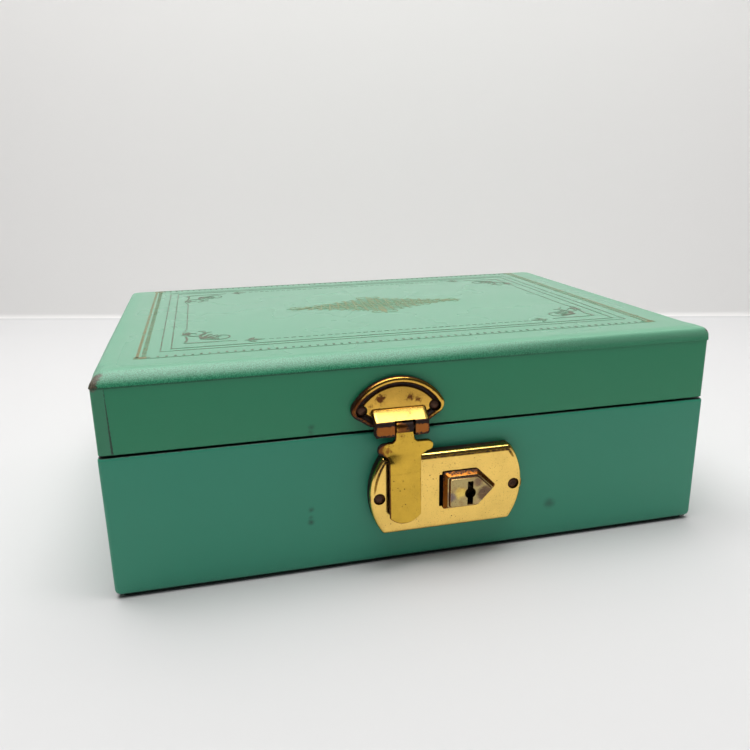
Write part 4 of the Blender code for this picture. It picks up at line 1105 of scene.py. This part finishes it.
def build_lock_case(material):
    """The pressed case: rounded rim, flat face, nail holes and the button's slot."""
    depth = FACE - LOCK_FACE
    profile = [(0.35, 0.0, 0.9), (0.05, 0.1, 0.8), (0.0, 0.4, 0.5), (0.0, depth - 1.5, 0.4)]
    profile += [(RIM + x, depth + z, worn) for (x, z), worn in zip(arc(0, -RIM, RIM, 171, 90, 9), RIM_WEAR_AND_SHADE)]
    # the black line on the face under the rim: painted dark reflection mixed with tarnish
    profile += [(inset, depth, worn)
                for inset, worn in ((1.36, 0.84), (1.52, 0.78), (1.7, 0.45), (1.9, 0.1), (2.8, 0.0))]
    bm = pressed(lock_outline, profile, FACE)
    change_wear_and_light(bm, darkened_round_the_case)
    inside = pressed(lambda _: lock_outline(1.4), [(0, -2, 0), (0, depth - 0.8, 0)], FACE)
    cuts = [("DIFFERENCE", loose_object(inside, "inside"))]
    front = LOCK_FACE - 5
    for nail in ("lock_nail_1", "lock_nail_2"):
        x, z = middle_of(nail)
        cuts += [("UNION", rod_along_y(x, z, LOCK_FACE + 0.4, FACE, 2.7)),
                 ("DIFFERENCE", rod_along_y(x, z, front, LOCK_FACE + 1.1, NAIL_HOLE)),
                 ("DIFFERENCE", rod_along_y(x, z, front, FACE + 2, 1.0))]
    slot = block((1.7, LOCK_FACE - 2, LOCK_Z - 4.9), (13.3, LOCK_FACE + 2, LOCK_Z + 4.9), 0.25)
    staple_low, staple_high = box_mm("hasp_staple")
    staple_slot = block((staple_low.x - 0.6, LOCK_FACE - 2, staple_low.z - 1.2),
                        (staple_high.x + 0.6, staple_high.y + 0.3, LOCK_HIGH.z + 4))
    cuts += [("DIFFERENCE", slot), ("DIFFERENCE", staple_slot)]
    mesh = apply_cuts(finish_mesh(bm, "lock_plate", 50), cuts, 45)
    add_piece(mesh, "lock_plate", material, "base", ("lock_case",))


def button_outline(inset):
    """A pentagon that points to the right, its corners a little rounded."""
    shoulder, tip, half = 13.2, 18.8, 5.7
    pentagon = [(BUTTON_BACK, LOCK_Z - half), (shoulder, LOCK_Z - half), (tip, LOCK_Z),
                (shoulder, LOCK_Z + half), (BUTTON_BACK, LOCK_Z + half)]
    return round_corners(shrink(pentagon, inset), 0.6)


def build_button(material):
    """The pentagon button: two steps, a flat worn face and the keyhole through it."""
    back = LOCK_FACE - 0.3
    # the walls' wear-and-light values give painted dark reflection mixed with tarnish: orange-brown at the
    # left, red-brown on top
    profile = [(0.1, 0.0, 1.0), (0.0, 0.12, 1.0), (0.06, 0.3, 0.6), (0.5, 1.05, 0.5), (0.9, 1.62, 0.5),
               (0.97, 1.74, 0.05), (1.1, 1.8, 0.0), (1.26, 1.76, 0.6), (1.36, 1.84, 1.0), (1.44, 2.05, 1.0),
               (1.5, 2.28, 0.5), (1.58, 2.42, 0.0), (1.76, 2.44, 0.0), (1.95, 2.36, 0.3), (2.4, 2.36, 0.05)]
    bm = pressed(button_outline, profile, back)

    # painted dark reflection mixed with tarnish on the top wall
    def darker_on_top(point, wear_and_light):
        upper = smooth_step(point.z, LOCK_Z + 4.0, LOCK_Z + 5.0) * smooth_step(point.y, -69.6, -69.2)
        return wear_and_light + 0.24 * upper

    change_wear_and_light(bm, darker_on_top)
    near, far, slot, slot_up = LOCK_FACE - 8, LOCK_FACE + 4, 0.85, 3.65
    shank = block((5.2, back - 0.3, LOCK_Z - 4.6), (13.0, LOCK_FACE + 0.8, LOCK_Z + 4.6))
    key_slot = block((KEY.x - slot, near, KEY.z - slot_up), (KEY.x + slot, far, KEY.z + slot_up), 0.2)
    cuts = [("UNION", shank), ("DIFFERENCE", rod_along_y(KEY.x, KEY.z, near, far, 1.65)),
            ("DIFFERENCE", key_slot)]
    mesh = apply_cuts(finish_mesh(bm, "thumb_button", 35), cuts, 35)
    add_piece(mesh, "thumb_button", material, "slide", ("slide_button",))


# ------------ inside of the box


def ease(i, steps):
    """From 0 to 1, with short steps at both ends."""
    return 0.5 - 0.5 * math.cos(math.pi * i / steps)


def soft_block(name, low, high, crown, edge, steps, ripple, up=1):
    """A crowned pad: flat where it rests, swelling to its middle, with rounded sides.

    up is -1 for a pad that hangs from its flat side.
    """
    size_x, size_y, size_z = (b - a for a, b in zip(low, high))
    nx, ny = steps
    bm = bmesh.new()
    rows = {}
    for layer in (0, 1):
        for i, j in ((i, j) for i in range(nx + 1) for j in range(ny + 1)):
            u, v = ease(i, nx), ease(j, ny)
            near = min(1.0, min(u, 1 - u) * size_x / edge) * min(1.0, min(v, 1 - v) * size_y / edge)
            swell = math.sin(near * math.pi / 2) ** 0.5
            bulge = (math.sin(math.pi * u) * math.sin(math.pi * v)) ** 0.4
            wave = ripple * noise.noise(Vector((u * size_x, v * size_y, 3.0)) * 0.09)
            thick = (size_z - crown) * (0.35 + 0.65 * swell) + (bulge * crown + wave * bulge)
            z = (low[2] if up > 0 else high[2]) + up * layer * thick
            rows[layer, i, j] = bm.verts.new(Vector((low[0] + u * size_x, low[1] + v * size_y, z)) * MM)
    for layer in (0, 1):
        for i, j in ((i, j) for i in range(nx) for j in range(ny)):
            quad = [rows[layer, i + a, j + b] for a, b in ((0, 0), (1, 0), (1, 1), (0, 1))]
            bm.faces.new(quad if layer else list(reversed(quad)))
    rim = [side for i in range(nx) for side in (((i, 0), (i + 1, 0)), ((i + 1, ny), (i, ny)))]
    rim += [side for j in range(ny) for side in (((0, j + 1), (0, j)), ((nx, j), (nx, j + 1)))]
    for a, b in rim:
        bm.faces.new((rows[0, *a], rows[0, *b], rows[1, *b], rows[1, *a]))
    return finish_mesh(bm, name, 60)


def build_roll(index, material):
    """A stuffed velvet roll: round on top, pinched at its ends, with a slightly uneven body."""
    node, name = f"ring_roll_{index}", f"velvet_roll_{index}"
    low, high = box_mm(node)
    stations, points_round, squareness = 30, 36, 0.62
    rings = []
    for s in range(stations + 1):
        x = low.x + (high.x - low.x) * ease(s, stations)
        swell = 1 - 0.28 * math.exp(-min(x - low.x, high.x - x) / 2.2)
        ring = []
        for k in range(points_round):
            a = 2 * math.pi * k / points_round
            across, rise = (math.copysign(abs(w) ** squareness, w) for w in (math.cos(a), math.sin(a)))
            y = across * (high.y - low.y) / 2 * 0.985 * swell
            lift = 0.0
            if rise > 0:
                rise = rise * swell
                lift = 0.25 * noise.noise(Vector((x * 0.12, y * 0.2, index * 7.0)))
            z = low.z + (high.z - low.z) * (0.5 + 0.5 * rise) + lift
            ring.append((x, (low.y + high.y) / 2 + y, z))
        rings.append(ring)
    add_piece(finish_mesh(ring_bmesh(rings), name, 60), name, material, "base", (node,))


def simulate_puff(mesh, name, cap_mm):
    """Swells a pad with cloth pressure and returns the settled mesh, no point moved past the cap."""
    pad = new_object(name + "_cloth", mesh.copy())
    remesh = pad.modifiers.new("Remesh", "REMESH")
    remesh.mode = "VOXEL"
    remesh.voxel_size = 2.2 * MM
    settled = evaluated_mesh(pad)
    pad.modifiers.clear()
    pad.data = settled
    rest = [v.co.copy() for v in settled.vertices]
    cloth = pad.modifiers.new("Cloth", "CLOTH")
    cloth.settings.quality = 4
    cloth.settings.mass = 0.1
    cloth.settings.use_pressure = True
    cloth.settings.uniform_pressure_force = 3.0
    cloth.settings.effector_weights.gravity = 0.0
    cloth.collision_settings.use_collision = False
    scene = bpy.context.scene
    for number in range(1, 16):
        scene.frame_set(number)
    graph = bpy.context.evaluated_depsgraph_get()
    places = [v.co.copy() for v in pad.evaluated_get(graph).to_mesh().vertices]
    pad.evaluated_get(graph).to_mesh_clear()
    for vertex, start, end in zip(settled.vertices, rest, places):
        step = end - start
        if step.length > cap_mm * MM:
            step = step.normalized() * cap_mm * MM
        vertex.co = start + step
    bpy.data.objects.remove(pad)
    scene.frame_set(1)
    settled.name = name
    settled.shade_smooth()
    return settled


def build_lid_pad(material):
    """A puffed satin pad glued under the lid's top."""
    low, high = box_mm("lid_pad")
    gap = 0.4
    mesh = soft_block("satin_pad", (low.x + gap, low.y + gap, low.z), (high.x - gap, high.y - gap, high.z),
                      3.0, 9.0, (60, 42), 0.9, -1)
    mesh = simulate_puff(mesh, "satin_pad", 1.2)
    for vertex in mesh.vertices:
        vertex.co.z = min(vertex.co.z, high.z * MM)
    add_piece(mesh, "satin_pad", material, "lid", ("lid_pad",))


def build_compartment_pad(material):
    """A thin firm pad on the floor of the open compartment."""
    low, high = box_mm("compartment_pad")
    gap, proud = 0.2, 0.6
    mesh = soft_block("velvet_pad", (low.x + gap, low.y + gap, low.z),
                      (high.x - gap, high.y - gap, high.z + proud), 1.4, 3.0, (26, 44), 0.3)
    add_piece(mesh, "velvet_pad", material, "base", ("compartment_pad",))


# ------------ finishes of the pieces kept from the frame

# the first row whose word is in the node's name gives its finish
FINISH_RULES = (("collar", "satin"), ("partition", "satin"), ("lid_lining", "satin"),
                ("ring_bed", "velvet"), ("board", "wood"), ("underside", "paper"), ("leaf", "hinge"),
                ("screw", "dull"), ("nail", "nail"), ("pin", "dull"), ("spring", "dull"),
                ("bolt", "black_and_dark_reflection"), ("staple", "hinge"), ("cam", "dark"), ("back_plate", "dark"))


def paint_frame(finishes):
    """Gives every CAD node that still shows its own procedural finish."""
    for name, obj in frame["nodes"].items():
        kind = next((finish for word, finish in FINISH_RULES if word in name), None)
        if kind:
            obj.data.materials.clear()
            obj.data.materials.append(finishes[kind])


# ------------ room, light and camera

CAMERA_AT = Vector((-0.0584, -0.2445, 0.1122))
YAW, PITCH, ROLL = math.radians(13.307), math.radians(16.376), math.radians(-0.943)
LENS = 34.26
WALL_YAW = math.radians(16.95)
WALL_DISTANCE = 0.533  # from the camera, square to the wall
COVE = 0.005  # radius of the curve from the floor to the wall


def build_camera():
    heading = Vector((math.sin(YAW) * math.cos(PITCH), math.cos(YAW) * math.cos(PITCH), -math.sin(PITCH)))
    level = heading.cross(Vector((0, 0, 1))).normalized()
    upright = level.cross(heading)
    right = math.cos(ROLL) * level + math.sin(ROLL) * upright
    up = -math.sin(ROLL) * level + math.cos(ROLL) * upright
    data = bpy.data.cameras.new("camera")
    data.lens = LENS
    data.sensor_width = 36.0
    data.clip_start = 0.01
    camera = new_object("camera", data)
    turn = Matrix((right, up, -heading)).transposed()
    camera.matrix_world = Matrix.Translation(CAMERA_AT) @ turn.to_4x4()
    bpy.context.scene.camera = camera


def plain_surface(name, colour):
    n = Nodes(name)
    return n.done(color=n.mix(n.fade(n.noise(3.0), 0.3, 0.7, 0.0, 0.04), colour, tint(colour, 0.9)),
                  roughness=0.75, specular=0.3)


def build_room():
    """A pale floor that curves up into a pale wall behind the box."""
    heading = Vector((math.sin(WALL_YAW), math.cos(WALL_YAW), 0))
    side = Vector((math.cos(WALL_YAW), -math.sin(WALL_YAW), 0))
    start = Vector((CAMERA_AT.x, CAMERA_AT.y, 0))
    section = [(-1.6, 0.0), (-0.4, 0.0), (WALL_DISTANCE - COVE, 0.0)]
    section += arc(WALL_DISTANCE - COVE, COVE, COVE, -78.75, 0, 7)
    section += [(WALL_DISTANCE, 0.3), (WALL_DISTANCE, 1.4)]
    bm = bmesh.new()
    left, right = ([bm.verts.new(start + heading * d + side * reach + Vector((0, 0, z))) for d, z in section]
                   for reach in (-2.0, 2.0))
    for i in range(len(section) - 1):
        face = bm.faces.new((left[i], right[i], right[i + 1], left[i + 1]))
        face.material_index = 1 if i >= 6 else 0
    mesh = mesh_of(bm, "room")
    mesh.shade_smooth()
    mesh.materials.append(plain_surface("floor_white", (0.66, 0.66, 0.665)))
    mesh.materials.append(plain_surface("wall_white", (0.92, 0.91, 0.90)))
    new_object("room", mesh)


def area_light(name, at, aim, size_x, size_y, power):
    data = bpy.data.lights.new(name, "AREA")
    data.shape = "RECTANGLE"
    data.size, data.size_y = size_x, size_y
    data.energy = power
    data.color = (1.0, 0.99, 0.98)
    light = new_object(name, data)
    light.location = at
    light.rotation_mode = "QUATERNION"
    light.rotation_quaternion = (Vector(aim) - Vector(at)).to_track_quat("-Z", "Y")


def build_lights():
    area_light("overhead", (-0.10, 0.0, 0.95), (0.0, 0.0, 0.0), 1.1, 0.9, 9.0)
    area_light("wall_wash", (0.0, -0.02, 0.80), (0.16, 0.29, 0.24), 0.9, 0.25, 3.8)
    world = bpy.data.worlds.new("soft_room")
    bpy.context.scene.world = world
    world.use_nodes = True
    background = world.node_tree.nodes["Background"]
    background.inputs["Color"].default_value = (0.93, 0.96, 1.0, 1.0)
    background.inputs["Strength"].default_value = 0.05
    bpy.context.scene.view_settings.view_transform = "Standard"


# ------------ build

# stains are (point, radius, share), and tints are (point, radius, colour)
YELLOW_BRASS = brass("yellow_brass", (1.0, 0.66, 0.17), (0.34, 0.19, 0.03), 0.13)
# the half-moon's and the strap's brass are darker olive copies of the lock's yellow brass: painted darker
# reflection for faces that mirror darker surroundings
MOON_BRASS = brass("moon_brass", (0.80, 0.47, 0.08), (0.15, 0.05, 0.015), 0.16, 1.0,
                   [((-14.4, -64.8, 50.9), 1.35, 1.0), ((-5.9, -64.8, 50.8), 0.95, 1.0),
                    ((-3.8, -64.8, 50.0), 0.8, 0.9), ((-17.4, -64.8, 48.9), 0.4, 0.7)])
STRAP_BRASS = brass("strap_brass", (0.74, 0.46, 0.06), (0.22, 0.075, 0.018), 0.2, 0.9,
                    [((-13.6, -68.8, 37.2), 1.0, 0.8), ((-9.6, -68.8, 41.2), 0.6, 0.6)])
COPPER_BRASS = brass("copper_brass", (0.64, 0.43, 0.10), (0.36, 0.12, 0.028), 0.22, 0.9,
                     [((-7.0, -66.8, 47.0), 0.7, 0.55)])
BUTTON_BRASS = brass("button_brass", (0.48, 0.37, 0.16), (0.30, 0.10, 0.015), 0.17, 1.0, (), 0.25,
                     [((7.2, -69.9, 22.6), 1.5, (0.85, 0.60, 0.14)),
                      ((4.6, -69.9, 21.5), 1.1, (0.22, 0.16, 0.15)),
                      ((14.6, -69.9, 21.5), 2.2, (0.13, 0.075, 0.055)),
                      ((12.6, -69.9, 25.4), 1.3, (0.20, 0.12, 0.08)),
                      ((12.4, -69.9, 19.0), 0.9, (0.62, 0.47, 0.24))])
SATIN = satin("champagne_satin", (0.72, 0.62, 0.45))
VELVET = velvet("champagne_velvet", (0.56, 0.45, 0.29))
FOIL_GOLD = gold_foil("foil_gold", (0.20, 0.175, 0.03), (0.07, 0.075, 0.02), 0.75)
FOIL_DULL = gold_foil("foil_dull", (0.075, 0.095, 0.03), (0.03, 0.045, 0.018), 0.9)
FOIL_PALE = gold_foil("foil_pale", (0.21, 0.24, 0.06), (0.10, 0.13, 0.04), 0.9)

build_lid_cover()
build_base_cover()
build_border(FOIL_GOLD, FOIL_DULL)
build_frames(FOIL_DULL)
build_corner_ornaments(FOIL_DULL)
build_medallion(FOIL_PALE)
build_hasp_plate(MOON_BRASS)
build_housing(COPPER_BRASS)
build_hasp(STRAP_BRASS)
build_lock_case(YELLOW_BRASS)
build_button(BUTTON_BRASS)
for number in range(1, 6):
    build_roll(number, VELVET)
build_lid_pad(SATIN)
build_compartment_pad(VELVET)
paint_frame({"satin": SATIN, "velvet": VELVET, "wood": bare_wood("board_wood"),
             "paper": dark_paper("lining_paper"), "hinge": STRAP_BRASS,
             "dull": plain_metal("dull_steel", (0.33, 0.30, 0.26), 0.35),
             "nail": plain_metal("brown_nail", (0.11, 0.055, 0.035), 0.4),
             "dark": plain_metal("dark_lock_metal", (0.10, 0.075, 0.045), 0.45),
             "black_and_dark_reflection": plain_metal("greased_steel", (0.014, 0.010, 0.008), 0.6)})
build_camera()
build_room()
build_lights()
